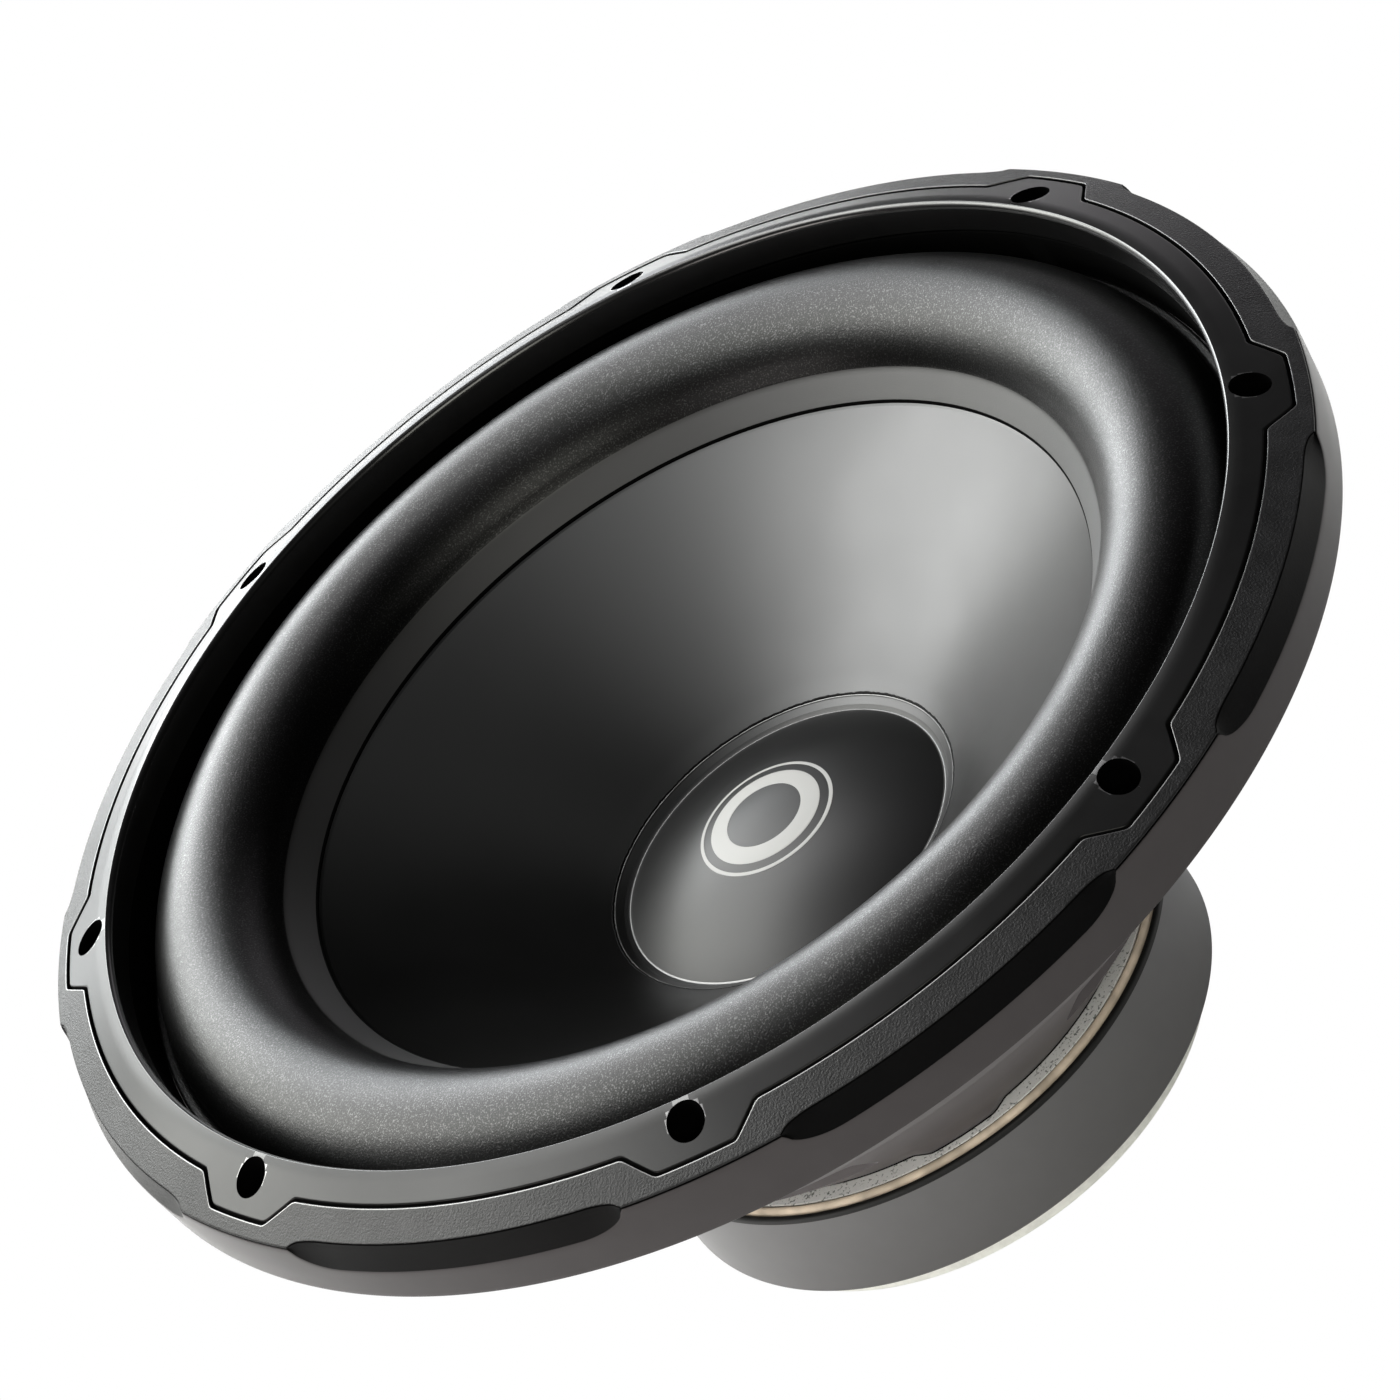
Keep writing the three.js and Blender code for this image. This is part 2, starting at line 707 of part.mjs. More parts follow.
// the yoke's rear face goes to z = 0
const standing = new THREE.Group();
speaker.position.z = -YOKE_Z;
standing.add(speaker);

export default standing;
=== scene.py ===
import bpy
import bmesh
import math
import numpy as np
from mathutils import Matrix, Vector


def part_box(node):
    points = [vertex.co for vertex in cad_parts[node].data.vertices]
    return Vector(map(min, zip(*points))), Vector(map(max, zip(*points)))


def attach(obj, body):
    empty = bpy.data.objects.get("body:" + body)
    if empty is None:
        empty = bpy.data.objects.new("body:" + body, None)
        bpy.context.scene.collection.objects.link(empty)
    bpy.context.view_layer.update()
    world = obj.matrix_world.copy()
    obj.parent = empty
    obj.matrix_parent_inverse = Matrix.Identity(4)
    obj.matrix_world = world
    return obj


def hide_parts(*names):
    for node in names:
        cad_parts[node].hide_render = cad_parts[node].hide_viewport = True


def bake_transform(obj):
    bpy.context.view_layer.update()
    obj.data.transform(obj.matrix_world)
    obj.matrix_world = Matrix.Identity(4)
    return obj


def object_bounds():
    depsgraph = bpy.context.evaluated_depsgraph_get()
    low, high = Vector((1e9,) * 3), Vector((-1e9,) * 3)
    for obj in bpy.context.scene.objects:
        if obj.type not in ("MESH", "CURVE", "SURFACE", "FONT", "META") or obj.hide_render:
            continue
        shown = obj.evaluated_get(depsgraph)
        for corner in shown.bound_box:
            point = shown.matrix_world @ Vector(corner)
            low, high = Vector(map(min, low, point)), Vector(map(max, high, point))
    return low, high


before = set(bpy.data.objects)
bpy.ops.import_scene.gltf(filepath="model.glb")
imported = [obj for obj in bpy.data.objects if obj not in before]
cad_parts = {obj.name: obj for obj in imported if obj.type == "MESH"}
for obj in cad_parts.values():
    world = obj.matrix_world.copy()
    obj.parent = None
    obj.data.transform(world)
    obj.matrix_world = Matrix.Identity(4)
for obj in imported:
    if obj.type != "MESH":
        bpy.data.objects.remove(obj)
low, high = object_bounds()
MM = 0.001
rng = np.random.default_rng(7)

# The frame's z = 0 is the back plate's rear face. The basket's top is the flange's front.
FLANGE_T = 2.0
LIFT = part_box("basket")[1].z * 1000 - FLANGE_T


def top(name):
    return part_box(name)[1].z * 1000 - LIFT


def bottom(name):
    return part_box(name)[0].z * 1000 - LIFT


def outer_radius(name):
    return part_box(name)[1].x * 1000


# ------------------------------------------------------------------ shared dimensions (mm)
BOLT_COUNT = 8
BOLT_PITCH = 45  # degrees
BOLT_R = 150.0
HOLE_R = 4.4

# the front of gasket and trim: a shallow cone, FACE_Z high over the bolt circle
SLOPE = -0.43
FACE_Z = 21.0
LIP_R = 143.6
DECK_Z = 14.0
SEAM_R, TAB_R = 152.2, 158.25  # the gasket's edge between its tabs, and on them
SKIRT_R = 161.0
TRIM_R = outer_radius("trim_ring")

# the cone's front face
NECK_R, NECK_Z = 27.2, -50.4
CONE_RIM_R = 100.6
CONE_SLOPE = 0.6997
BULGE = 0.9
BULGE_START, BULGE_SPAN = 44.4, 56.2

FOOT_Z = bottom("basket")
BACK_Z = bottom("yoke")
CREST_Z = top("surround")
PLATE_R = outer_radius("top_plate")
BOOT_R = outer_radius("magnet_boot")
YOKE_R = outer_radius("yoke")

# the basket's conical wall, and the unit vector (r, z) that runs up it
WALL_TOP_R, WALL_TOP_Z = 122.7, -32.0
WALL_FOOT_R = 60.0
BASE_Z = FOOT_Z + 1.8
wall = np.array([WALL_TOP_R - WALL_FOOT_R, WALL_TOP_Z - BASE_Z])
wall_r, wall_z = wall / np.linalg.norm(wall)

RIVET_ANGLE, RIVET_PITCH = 245, 60
TERMINAL_ANGLE = 65


def face_z(r):
    return FACE_Z + SLOPE * (r - BOLT_R)


def cone_z(r):
    """The cone's front face: a slope with a slight forward bulge between cap and rim."""
    t = min(1.0, max(0.0, (r - BULGE_START) / BULGE_SPAN))
    return NECK_Z + (r - NECK_R) * CONE_SLOPE + BULGE * 4 * t * (1 - t)


def wall_radius(z):
    return WALL_TOP_R + (z - WALL_TOP_Z) * wall_r / wall_z


def polar(r, degrees):
    return r * math.cos(math.radians(degrees)), r * math.sin(math.radians(degrees))


# ------------------------------------------------------------------ mesh tools
def fillet(rows, seg=4, closed=True):
    """Rounds an outline. Rows are (x, y, corner radius), and each arc has seg steps."""
    out = []
    count = len(rows)
    for i, (x, y, corner) in enumerate(rows):
        point = np.array((x, y), float)
        if corner <= 0 or (not closed and i in (0, count - 1)):
            out.append(tuple(point))
            continue
        back = np.array(rows[i - 1][:2], float) - point
        ahead = np.array(rows[(i + 1) % count][:2], float) - point
        back_len, ahead_len = np.linalg.norm(back), np.linalg.norm(ahead)
        back, ahead = back / back_len, ahead / ahead_len
        half = math.acos(max(-1, min(1, float(back @ ahead)))) / 2
        # the arc takes less than half of either side
        cut = min(corner / math.tan(half), 0.49 * back_len, 0.49 * ahead_len)
        corner = cut * math.tan(half)
        middle = back + ahead
        middle = middle / np.linalg.norm(middle)
        centre = point + middle * (corner / math.sin(half))
        start, end = point + back * cut, point + ahead * cut
        first = math.atan2(start[1] - centre[1], start[0] - centre[0])
        last = math.atan2(end[1] - centre[1], end[0] - centre[0])
        sweep = (last - first + math.pi) % (2 * math.pi) - math.pi
        for k in range(seg + 1):
            a = first + sweep * k / seg
            out.append((centre[0] + corner * math.cos(a), centre[1] + corner * math.sin(a)))
    return out


def face_vectors(mesh, what):
    """The faces' centers or normals, one row each."""
    values = np.empty(len(mesh.polygons) * 3)
    mesh.polygons.foreach_get(what, values)
    return values.reshape(-1, 3)


def smooth_normals(mesh):
    """Area-weighted vertex normals, so long flats stay flat beside their rounded edges."""
    face_count = len(mesh.polygons)
    area = np.empty(face_count)
    mesh.polygons.foreach_get("area", area)
    weighted = face_vectors(mesh, "normal") * area[:, None]
    loop_vertex = np.empty(len(mesh.loops), np.int64)
    mesh.loops.foreach_get("vertex_index", loop_vertex)
    sides = np.empty(face_count, np.int64)
    mesh.polygons.foreach_get("loop_total", sides)
    loop_face = np.repeat(np.arange(face_count), sides)
    total = np.zeros((len(mesh.vertices), 3))
    np.add.at(total, loop_vertex, weighted[loop_face])
    total /= np.maximum(np.linalg.norm(total, axis=1), 1e-15)[:, None]
    mesh.normals_split_custom_set_from_vertices(total.tolist())


def shade_smooth(mesh):
    mesh.polygons.foreach_set("use_smooth", np.ones(len(mesh.polygons), bool))


def set_materials(mesh, indices):
    mesh.polygons.foreach_set("material_index", np.asarray(indices, np.int32))


def make(name, points, faces, indices=None):
    mesh = bpy.data.meshes.new(name)
    mesh.from_pydata((np.asarray(points, float) * MM).tolist(), [], faces)
    mesh.update()
    obj = bpy.data.objects.new(name, mesh)
    bpy.context.scene.collection.objects.link(obj)
    if indices is not None:
        set_materials(mesh, indices)
    shade_smooth(mesh)
    return obj


def orient(obj, merge=False):
    """Turns the faces outwards, after welding coincident points if merge is set."""
    bm = bmesh.new()
    bm.from_mesh(obj.data)
    if merge:
        bmesh.ops.remove_doubles(bm, verts=bm.verts, dist=1e-7)
        bmesh.ops.dissolve_degenerate(bm, edges=bm.edges, dist=1e-7)
    bmesh.ops.recalc_face_normals(bm, faces=bm.faces)
    bm.to_mesh(obj.data)
    bm.free()
    obj.data.update()


def loft(name, radii, heights, angles, closed=True, indices=None):
    """A surface round z. radii, heights and indices have a row per angle, a column per point."""
    count, width = radii.shape
    x = radii * np.cos(angles)[:, None]
    y = radii * np.sin(angles)[:, None]
    points = np.stack([x, y, heights], -1).reshape(-1, 3)
    i = np.arange(count)
    i2 = (i + 1) % count
    faces, face_indices = [], []
    for j in range(width if closed else width - 1):
        j2 = (j + 1) % width
        quads = [i * width + j, i2 * width + j, i2 * width + j2, i * width + j2]
        faces.extend(np.stack(quads, -1).tolist())
        if indices is not None:
            face_indices.extend(indices[:, j].tolist())
    obj = make(name, points, faces, None if indices is None else face_indices)
    orient(obj, merge=True)
    smooth_normals(obj.data)
    return obj


def circle(count):
    return np.linspace(0, 2 * math.pi, count, endpoint=False)


def lathe(name, profile, steps, closed=True):
    """Turns a profile of (r, z) points round the axis."""
    profile = np.array(profile, float)
    radii = np.repeat(profile[None, :, 0], steps, 0)
    heights = np.repeat(profile[None, :, 1], steps, 0)
    return loft(name, radii, heights, circle(steps), closed)


def turned(name, rows, steps, seg=4, closed=True):
    """Turns a rounded profile. Rows are (r, z, corner radius)."""
    return lathe(name, fillet(rows, seg, closed), steps, closed)


def move(obj, x, y, z=0):
    obj.data.transform(Matrix.Translation(Vector((x, y, z)) * MM))


def rod(name, r, z0, z1, steps=48, x=0.0, y=0.0, corner=0.0, corner_top=0.0):
    """A turned pin along z."""
    rows = [(0, z0, 0), (r, z0, corner), (r, z1, corner_top), (0, z1, 0)]
    obj = turned(name, rows, steps, closed=False)
    move(obj, x, y)
    return obj


def prism(name, outline, z0, z1):
    count = len(outline)
    points = [(x, y, z0) for x, y in outline] + [(x, y, z1) for x, y in outline]
    faces = [[k, (k + 1) % count, count + (k + 1) % count, count + k] for k in range(count)]
    faces += [list(range(count))[::-1], list(range(count, 2 * count))]
    obj = make(name, points, faces)
    orient(obj)
    return obj


def slab(name, xs, ys, zs, corner, seg=6):
    """A block with rounded upright edges. xs, ys and zs are (low, high) pairs."""
    (x0, x1), (y0, y1) = xs, ys
    plan = [(x0, y0, corner), (x1, y0, corner), (x1, y1, corner), (x0, y1, corner)]
    return prism(name, fillet(plan, seg=seg), *zs)


def box(name, xs, ys, zs):
    points = [(x, y, z) for x in xs for y in ys for z in zs]
    faces = [[0, 1, 3, 2], [4, 6, 7, 5], [0, 4, 5, 1], [2, 3, 7, 6], [0, 2, 6, 4], [1, 5, 7, 3]]
    obj = make(name, points, faces)
    orient(obj)
    return obj


def unit_rows(vectors):
    return vectors / np.linalg.norm(vectors, axis=1)[:, None]


def tube(name, points, r, sides):
    """A round tube along points, built on a frame that doesn't twist."""
    path = np.asarray(points, float)
    tangents = unit_rows(np.gradient(path, axis=0))
    u = np.cross(tangents[0], [0, 0, 1])
    u /= np.linalg.norm(u)
    a = circle(sides)
    rings = []
    for point, tangent in zip(path, tangents):
        u = u - tangent * (u @ tangent)
        u /= np.linalg.norm(u)
        w = np.cross(tangent, u)
        rings.append(point + r * (np.cos(a)[:, None] * u + np.sin(a)[:, None] * w))
    faces = []
    for k in range(len(path) - 1):
        a0, b0 = k * sides, (k + 1) * sides
        for j in range(sides):
            j2 = (j + 1) % sides
            faces.append([a0 + j, a0 + j2, b0 + j2, b0 + j])
    faces.append(list(range(sides))[::-1])
    faces.append([(len(path) - 1) * sides + j for j in range(sides)])
    obj = make(name, np.concatenate(rings), faces)
    orient(obj)
    return obj


def apply_modifiers(obj):
    bpy.context.view_layer.update()
    depsgraph = bpy.context.evaluated_depsgraph_get()
    mesh = bpy.data.meshes.new_from_object(obj.evaluated_get(depsgraph))
    obj.modifiers.clear()
    obj.data = mesh


def boolean(obj, tools, operation="DIFFERENCE"):
    """Cuts the tools from obj, or adds them, and removes them."""
    for tool in tools:
        modifier = obj.modifiers.new("cut", "BOOLEAN")
        modifier.operation = operation
        modifier.object = tool
        modifier.solver = "EXACT"
    apply_modifiers(obj)
    for tool in tools:
        bpy.data.objects.remove(tool)


def bevel_edges(obj, angle, width, segments=2):
    """Bevels the edges sharper than angle (degrees) and shades all smooth."""
    bevel = obj.modifiers.new("edge", "BEVEL")
    bevel.limit_method = "ANGLE"
    bevel.angle_limit = math.radians(angle)
    bevel.width = width * MM
    bevel.segments = segments
    bevel.use_clamp_overlap = True
    apply_modifiers(obj)
    shade_smooth(obj.data)
    smooth_normals(obj.data)


def sharpen_edges(obj, angle):
    """Keeps the edges sharper than angle (degrees) sharp and shades the rest smooth."""
    shade_smooth(obj.data)
    obj.data.set_sharp_from_angle(angle=math.radians(angle))


def joined(name, objs):
    """One object from several (separate shells of one piece)."""
    bm = bmesh.new()
    for obj in objs:
        bm.from_mesh(obj.data)
    mesh = bpy.data.meshes.new(name)
    bm.to_mesh(mesh)
    bm.free()
    whole = bpy.data.objects.new(name, mesh)
    bpy.context.scene.collection.objects.link(whole)
    for obj in objs:
        bpy.data.objects.remove(obj)
    shade_smooth(mesh)
    return whole


def paint(obj, pick):
    """Gives each face the material index pick(radius, z, normal's z), in mm."""
    indices = []
    for face in obj.data.polygons:
        centre = face.center * 1000
        indices.append(pick(math.hypot(centre.x, centre.y), centre.z, face.normal.z))
    set_materials(obj.data, indices)


# ------------------------------------------------------------------ material tools
def new_material(name, color, rough, metallic=0.0, spec=0.5, coat_rough=0.2, sheen=0.0):
    """Returns the material, its node tree and its shader's inputs."""
    material = bpy.data.materials.new(name)
    material.use_nodes = True
    tree = material.node_tree
    inputs = tree.nodes["Principled BSDF"].inputs
    inputs["Base Color"].default_value = (*color, 1)
    inputs["Roughness"].default_value = rough
    inputs["Metallic"].default_value = metallic
    inputs["Specular IOR Level"].default_value = spec
    inputs["Coat Roughness"].default_value = coat_rough
    inputs["Sheen Weight"].default_value = sheen
    material.diffuse_color = (*color, 1)
    return material, tree, inputs


def feed(tree, node, inputs):
    """Links or sets a node's inputs, and returns its first output."""
    for key, value in inputs.items():
        if isinstance(value, bpy.types.NodeSocket):
            tree.links.new(value, node.inputs[key])
        else:
            node.inputs[key].default_value = value
    return node.outputs[0]


def add_node(tree, kind, inputs):
    return feed(tree, tree.nodes.new(kind), inputs)


def coords(tree):
    return tree.nodes.new("ShaderNodeTexCoord").outputs["Object"]


def noise(tree, vector, scale, detail=2.0, rough=0.5):
    return add_node(tree, "ShaderNodeTexNoise", {
        "Scale": scale, "Detail": detail, "Roughness": rough, "Vector": vector})


def calc(tree, operation, *values):
    node = tree.nodes.new("ShaderNodeMath")
    node.operation = operation
    return feed(tree, node, dict(enumerate(values)))


def blend_sum(tree, first, first_share, second, second_share):
    return calc(tree, "ADD", calc(tree, "MULTIPLY", first, first_share),
                calc(tree, "MULTIPLY", second, second_share))


def ramp(tree, factor, stops):
    """A two-stop colour ramp. Stops are (position, colour)."""
    node = tree.nodes.new("ShaderNodeValToRGB")
    for element, (position, color) in zip(node.color_ramp.elements, stops):
        element.position = position
        element.color = (*color, 1)
    return feed(tree, node, {"Fac": factor})


def map_range(tree, value, from_range, to_range):
    return add_node(tree, "ShaderNodeMapRange", {
        "From Min": from_range[0], "From Max": from_range[1],
        "To Min": to_range[0], "To Max": to_range[1], "Value": value})


def bump(tree, height, strength, distance, inputs):
    normal = add_node(tree, "ShaderNodeBump", {
        "Strength": strength, "Distance": distance, "Height": height})
    tree.links.new(normal, inputs["Normal"])


def shades(color, tint):
    """Ramp stops a share darker and a share lighter than a colour."""
    return [(0.3, tuple(c * (1 - tint) for c in color)), (0.7, tuple(c * (1 + tint) for c in color))]


def grained(name, color, rough, grain, depth, strength, spec=0.5, tint=0.12, wobble=0.04,
            detail=3.0, speck=0.0, sparkle=0.0):
    """Moulded plastic or rubber, paint or glue: fine grain in the bump, slow gloss variation.

    tint and wobble are the spread of colour and roughness, speck the weight of light specks,
    sparkle the gain in reflection on the grain's peaks.
    """
    material, tree, inputs = new_material(name, color, rough, spec=spec, coat_rough=0.25)
    vector = coords(tree)
    fine = noise(tree, vector, grain, detail, rough=0.6)
    slow = noise(tree, vector, 22.0, detail=3.0)
    mid = noise(tree, vector, 160.0)
    gloss = map_range(tree, slow, (0.3, 0.7), (rough - wobble, rough + wobble))
    tree.links.new(gloss, inputs["Roughness"])
    base = ramp(tree, mid, shades(color, tint))
    if speck:
        spots = noise(tree, vector, grain * 1.15, detail=1.0)
        mask = map_range(tree, spots, (0.62, 0.78), (0.0, 1.0))
        base = add_node(tree, "ShaderNodeMixRGB", {
            "Fac": calc(tree, "MULTIPLY", mask, speck), "Color1": base,
            "Color2": (0.62, 0.64, 0.68, 1)})
    tree.links.new(base, inputs["Base Color"])
    if sparkle:
        points = noise(tree, vector, grain * 1.05, detail=0.0)
        glint = map_range(tree, points, (0.58, 0.74), (spec, spec * sparkle))
        tree.links.new(glint, inputs["Specular IOR Level"])
    bump(tree, fine, strength, depth, inputs)
    return material


def leathery(name, color, rough, spec):
    """Polypropylene with a fine leather-like skin."""
    material, tree, inputs = new_material(name, color, rough, spec=spec)
    scale = 1500.0
    vector = coords(tree)
    mapped = add_node(tree, "ShaderNodeMapping", {"Vector": vector})
    cells = add_node(tree, "ShaderNodeTexVoronoi", {"Scale": scale, "Vector": mapped})
    fine = noise(tree, vector, scale * 1.7, rough=0.6)
    height = blend_sum(tree, cells, 0.5, fine, 0.8)
    slow = noise(tree, vector, 18.0, detail=3.0, rough=0.55)
    gloss = map_range(tree, slow, (0.3, 0.7), (rough - 0.035, rough + 0.035))
    tree.links.new(gloss, inputs["Roughness"])
    mid = noise(tree, vector, 120.0, detail=3.0)
    tree.links.new(ramp(tree, mid, shades(color, 0.1)), inputs["Base Color"])
    bump(tree, height, strength=0.16, distance=0.00003, inputs=inputs)
    return material


def plated(name, color, rough, scale, contrast, strength=0.25, depth=0.00003, metallic=1.0,
           stops=(0.38, 0.6)):
    """Metal with spangled colour and fine tool marks. stops place the dark and light tones."""
    material, tree, inputs = new_material(name, color, rough, metallic=metallic)
    vector = coords(tree)
    fine = noise(tree, vector, scale, detail=3.0, rough=0.6)
    coarse = noise(tree, vector, scale * 0.25)
    spangle = blend_sum(tree, fine, 0.7, coarse, 0.3)
    dark = tuple(c * (1 - contrast) for c in color)
    light = tuple(min(1.0, c * (1 + contrast * 0.45)) for c in color)
    tones = ramp(tree, spangle, [(stops[0], dark), (stops[1], light)])
    tree.links.new(tones, inputs["Base Color"])
    gloss = map_range(tree, fine, (0.35, 0.65), (rough + 0.1, rough - 0.05))
    tree.links.new(gloss, inputs["Roughness"])
    bump(tree, spangle, strength, depth, inputs)
    return material


def woven(name):
    """Resin-dipped woven cloth, threads along x and y."""
    material, tree, inputs = new_material(name, (0.42, 0.32, 0.17), rough=0.75, sheen=0.2)
    vector = coords(tree)
    axes = tree.nodes.new("ShaderNodeSeparateXYZ")
    tree.links.new(vector, axes.inputs[0])
    frequency = 2 * math.pi / 0.0011
    wave_x, wave_y = [
        calc(tree, "SINE", calc(tree, "MULTIPLY", axes.outputs[axis], frequency)) for axis in "XY"]
    weave = calc(tree, "MULTIPLY", wave_x, wave_y)
    height = calc(tree, "ADD", calc(tree, "ABSOLUTE", weave), 0.0)
    stain = noise(tree, vector, 60.0, detail=3.0)
    tone = blend_sum(tree, height, 0.6, stain, 0.4)
    tones = ramp(tree, tone, [(0.1, (0.16, 0.11, 0.05)), (0.75, (0.52, 0.41, 0.23))])
    tree.links.new(tones, inputs["Base Color"])
    bump(tree, height, strength=0.7, distance=0.0002, inputs=inputs)
    return material


# ------------------------------------------------------------------ materials
# bump settings shared by several materials
PAINT = dict(grain=2600, depth=0.00001, tint=0.03, wobble=0.015)
SATIN = dict(grain=2400, depth=0.00001)

M = {}
M["basket"] = grained("basket_paint", (0.0720, 0.0672, 0.0684), rough=0.42, strength=0.25,
                      spec=0.493, **PAINT)
# the same paint, a little darker and duller, for the wall below the crease: painted shade
M["lower"] = grained("basket_paint_shaded", (0.0654, 0.0588, 0.0610), rough=0.42, strength=0.25,
                     spec=0.122, **PAINT)
M["skirt"] = grained("skirt_satin", (0.0398, 0.0364, 0.0375), rough=0.36, strength=0.2,
                     spec=0.0453, **PAINT)
M["trim"] = grained("trim_grain", (0.0063, 0.0063, 0.0067), rough=0.42, grain=2000, depth=0.00016,
                    strength=0.8, speck=0.025, spec=0.172, detail=1.5, tint=0.35)
# lighter and glossier for fine bevels on gasket and trim; the lighter colour is a painted highlight
# along the edges
M["edge"] = grained("edge_painted_highlight", (0.0300, 0.0300, 0.0310), rough=0.25, strength=0.1, spec=0.9,
                    **SATIN)
# near-black copy of the trim plastic for the pockets and the notch under the rim: painted shade in
# these recesses
M["pocket"] = grained("pocket_painted_shade", (0.0004, 0.0004, 0.0005), rough=0.42, grain=1900,
                      depth=0.00006, strength=0.5, spec=0.048)
M["gasket"] = grained("gasket_satin", (0.0044, 0.0044, 0.0045), rough=0.30, strength=0.15,
                      spec=0.176, **SATIN)
M["lip"] = grained("gasket_lip", (0.0044, 0.0044, 0.0045), rough=0.22, strength=0.15, **SATIN)
M["surround"] = grained("surround_rubber", (0.0003, 0.0003, 0.0003), rough=0.33, grain=2600,
                        depth=0.00010, strength=0.7, spec=0.18, tint=0.1, sparkle=2.4)
M["landing"] = grained("landing_rubber", (0.0011, 0.0010, 0.0009), rough=0.50, grain=2300,
                       depth=0.00004, strength=0.4, spec=0.641)
M["cone"] = leathery("cone_poly", (0.0001, 0.0001, 0.0001), rough=0.40, spec=0.469)
M["cap"] = leathery("cap_poly", (0.0029, 0.0029, 0.0030), rough=0.41, spec=0.281)
# lighter, glossy lines at the dome's foot and the flange's rim: painted highlight
M["cap_highlight_line"] = grained("cap_painted_highlight", (0.0500, 0.0500, 0.0500), rough=0.30, grain=1500,
                        depth=0.00001, strength=0.2, spec=0.8)
M["print"] = new_material("silver_print", (0.25, 0.25, 0.245), rough=0.55, spec=0.3)[0]
M["zinc"] = plated("zinc_plate", (0.9300, 0.9900, 0.9500), rough=0.45, scale=1250, contrast=0.80,
                   strength=0.5, depth=0.00006, metallic=0.05, stops=(0.37, 0.45))
M["bright"] = plated("bright_zinc", (0.9114, 0.9212, 0.8820), rough=0.34, scale=500, contrast=0.1,
                     strength=0.15, metallic=0.35)
M["boot"] = grained("boot_rubber", (0.1090, 0.1074, 0.1110), rough=0.44, grain=2000,
                    depth=0.00001, strength=0.2, spec=0.287, tint=0.02, wobble=0.01)
M["boot_lip"] = grained("boot_lip", (0.0016, 0.0016, 0.0016), rough=0.6, grain=1500,
                        depth=0.00004, strength=0.4, spec=0.316)
M["ferrite"] = grained("ferrite", (0.045, 0.045, 0.048), rough=0.75, grain=1800, depth=0.00005,
                       strength=0.5)
M["glue"] = grained("tan_adhesive", (0.5800, 0.4870, 0.3880), rough=0.26, grain=420,
                    depth=0.0002, strength=0.5, wobble=0.1, tint=0.3, spec=0.105)
M["black"] = grained("black_plastic", (0.012, 0.012, 0.0125), rough=0.42, grain=1800,
                     depth=0.00002, strength=0.3)
M["cap_glue_shade"] = grained("cap_glue_shade", (0.0003, 0.0003, 0.0003), rough=0.35, grain=900,
                        depth=0.0001, strength=0.5, spec=0.04)
# near-black painted shade for hole walls, grooves, gaps and the foot's outer edge, where those
# surfaces lie in shade
M["shade_black"] = new_material("painted_shade_black", (0.0006, 0.0006, 0.0006), rough=0.9, spec=0.02)[0]
M["red"] = grained("red_plastic", (0.45, 0.012, 0.01), rough=0.3, grain=1800, depth=0.00001,
                   strength=0.15, tint=0.05)
M["steel"] = plated("zinc_screw", (0.62, 0.64, 0.65), rough=0.32, scale=700, contrast=0.2)
M["tin"] = plated("tinned_brass", (0.78, 0.72, 0.58), rough=0.3, scale=700, contrast=0.2)
M["spring"] = plated("spring_wire", (0.72, 0.73, 0.74), rough=0.25, scale=900, contrast=0.1)
M["copper"] = plated("copper_wire", (0.72, 0.30, 0.13), rough=0.28, scale=900, contrast=0.15)
M["braid"] = plated("tinsel_braid", (0.66, 0.48, 0.30), rough=0.38, scale=2600, contrast=0.4,
                    strength=0.5, depth=0.0001)
M["former"] = grained("former_film", (0.19, 0.12, 0.06), rough=0.3, grain=800, depth=0.00001,
                      strength=0.1)
M["screen"] = plated("screen_sheet", (0.22, 0.23, 0.24), rough=0.4, scale=900, contrast=0.2)
M["cloth"] = woven("spider_cloth")


# ------------------------------------------------------------------ placing
def lift(obj):
    obj.data.transform(Matrix.Translation((0, 0, LIFT * MM)))


def register(obj):
    """A piece named <node>_fine stands for the CAD node <node>, which is hidden."""
    if obj.name.endswith("_fine"):
        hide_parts(obj.name.removesuffix("_fine"))


def put(obj, body, slot, *keys):
    """Lifts a piece and gives it its materials and body. slot is not used."""
    lift(obj)
    mesh = obj.data
    indices = np.zeros(len(mesh.polygons), np.int32)
    mesh.polygons.foreach_get("material_index", indices)
    mesh.materials.clear()
    for key in keys:
        mesh.materials.append(M[key])
    set_materials(mesh, indices)
    if body:
        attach(obj, body)
    register(obj)


def put_wire(obj, key):
    """Lifts a piece of wire of one material that runs between two bodies."""
    lift(obj)
    obj.data.materials.append(M[key])
    register(obj)


# ------------------------------------------------------------------ gasket and trim tools
STEPS = 1440
ANGLES = circle(STEPS)
DEGREES = np.degrees(ANGLES)


def smooth_periodic(values, half_width):
    """Rounds the corners of a function of angle, over half_width degrees each way."""
    k = max(1, int(round(half_width / 360 * STEPS)))
    weights = np.hanning(2 * k + 3)[1:-1]
    weights /= weights.sum()
    return np.convolve(np.concatenate([values[-k:], values, values[:k]]), weights, "valid")


def outline(offset):
    """Radius of the gasket's edge at each angle, offset mm outside its groove's centre line."""
    from_bolt = np.abs((DEGREES + 22.5) % BOLT_PITCH - 22.5)
    tab_end = 3.43 + math.degrees(0.389 * offset / TAB_R)
    seam_end = 6.05 + math.degrees(0.389 * offset / SEAM_R)
    t = np.clip((seam_end - from_bolt) / (seam_end - tab_end), 0, 1)
    return smooth_periodic(SEAM_R + offset + (TAB_R - SEAM_R) * t, 0.34)


def bolt_cutter(z0, z1):
    pins = []
    for i in range(BOLT_COUNT):
        x, y = polar(BOLT_R, BOLT_PITCH * i)
        pins.append(rod("c", HOLE_R, z0, z1, x=x, y=y))
    return joined("cut", pins)


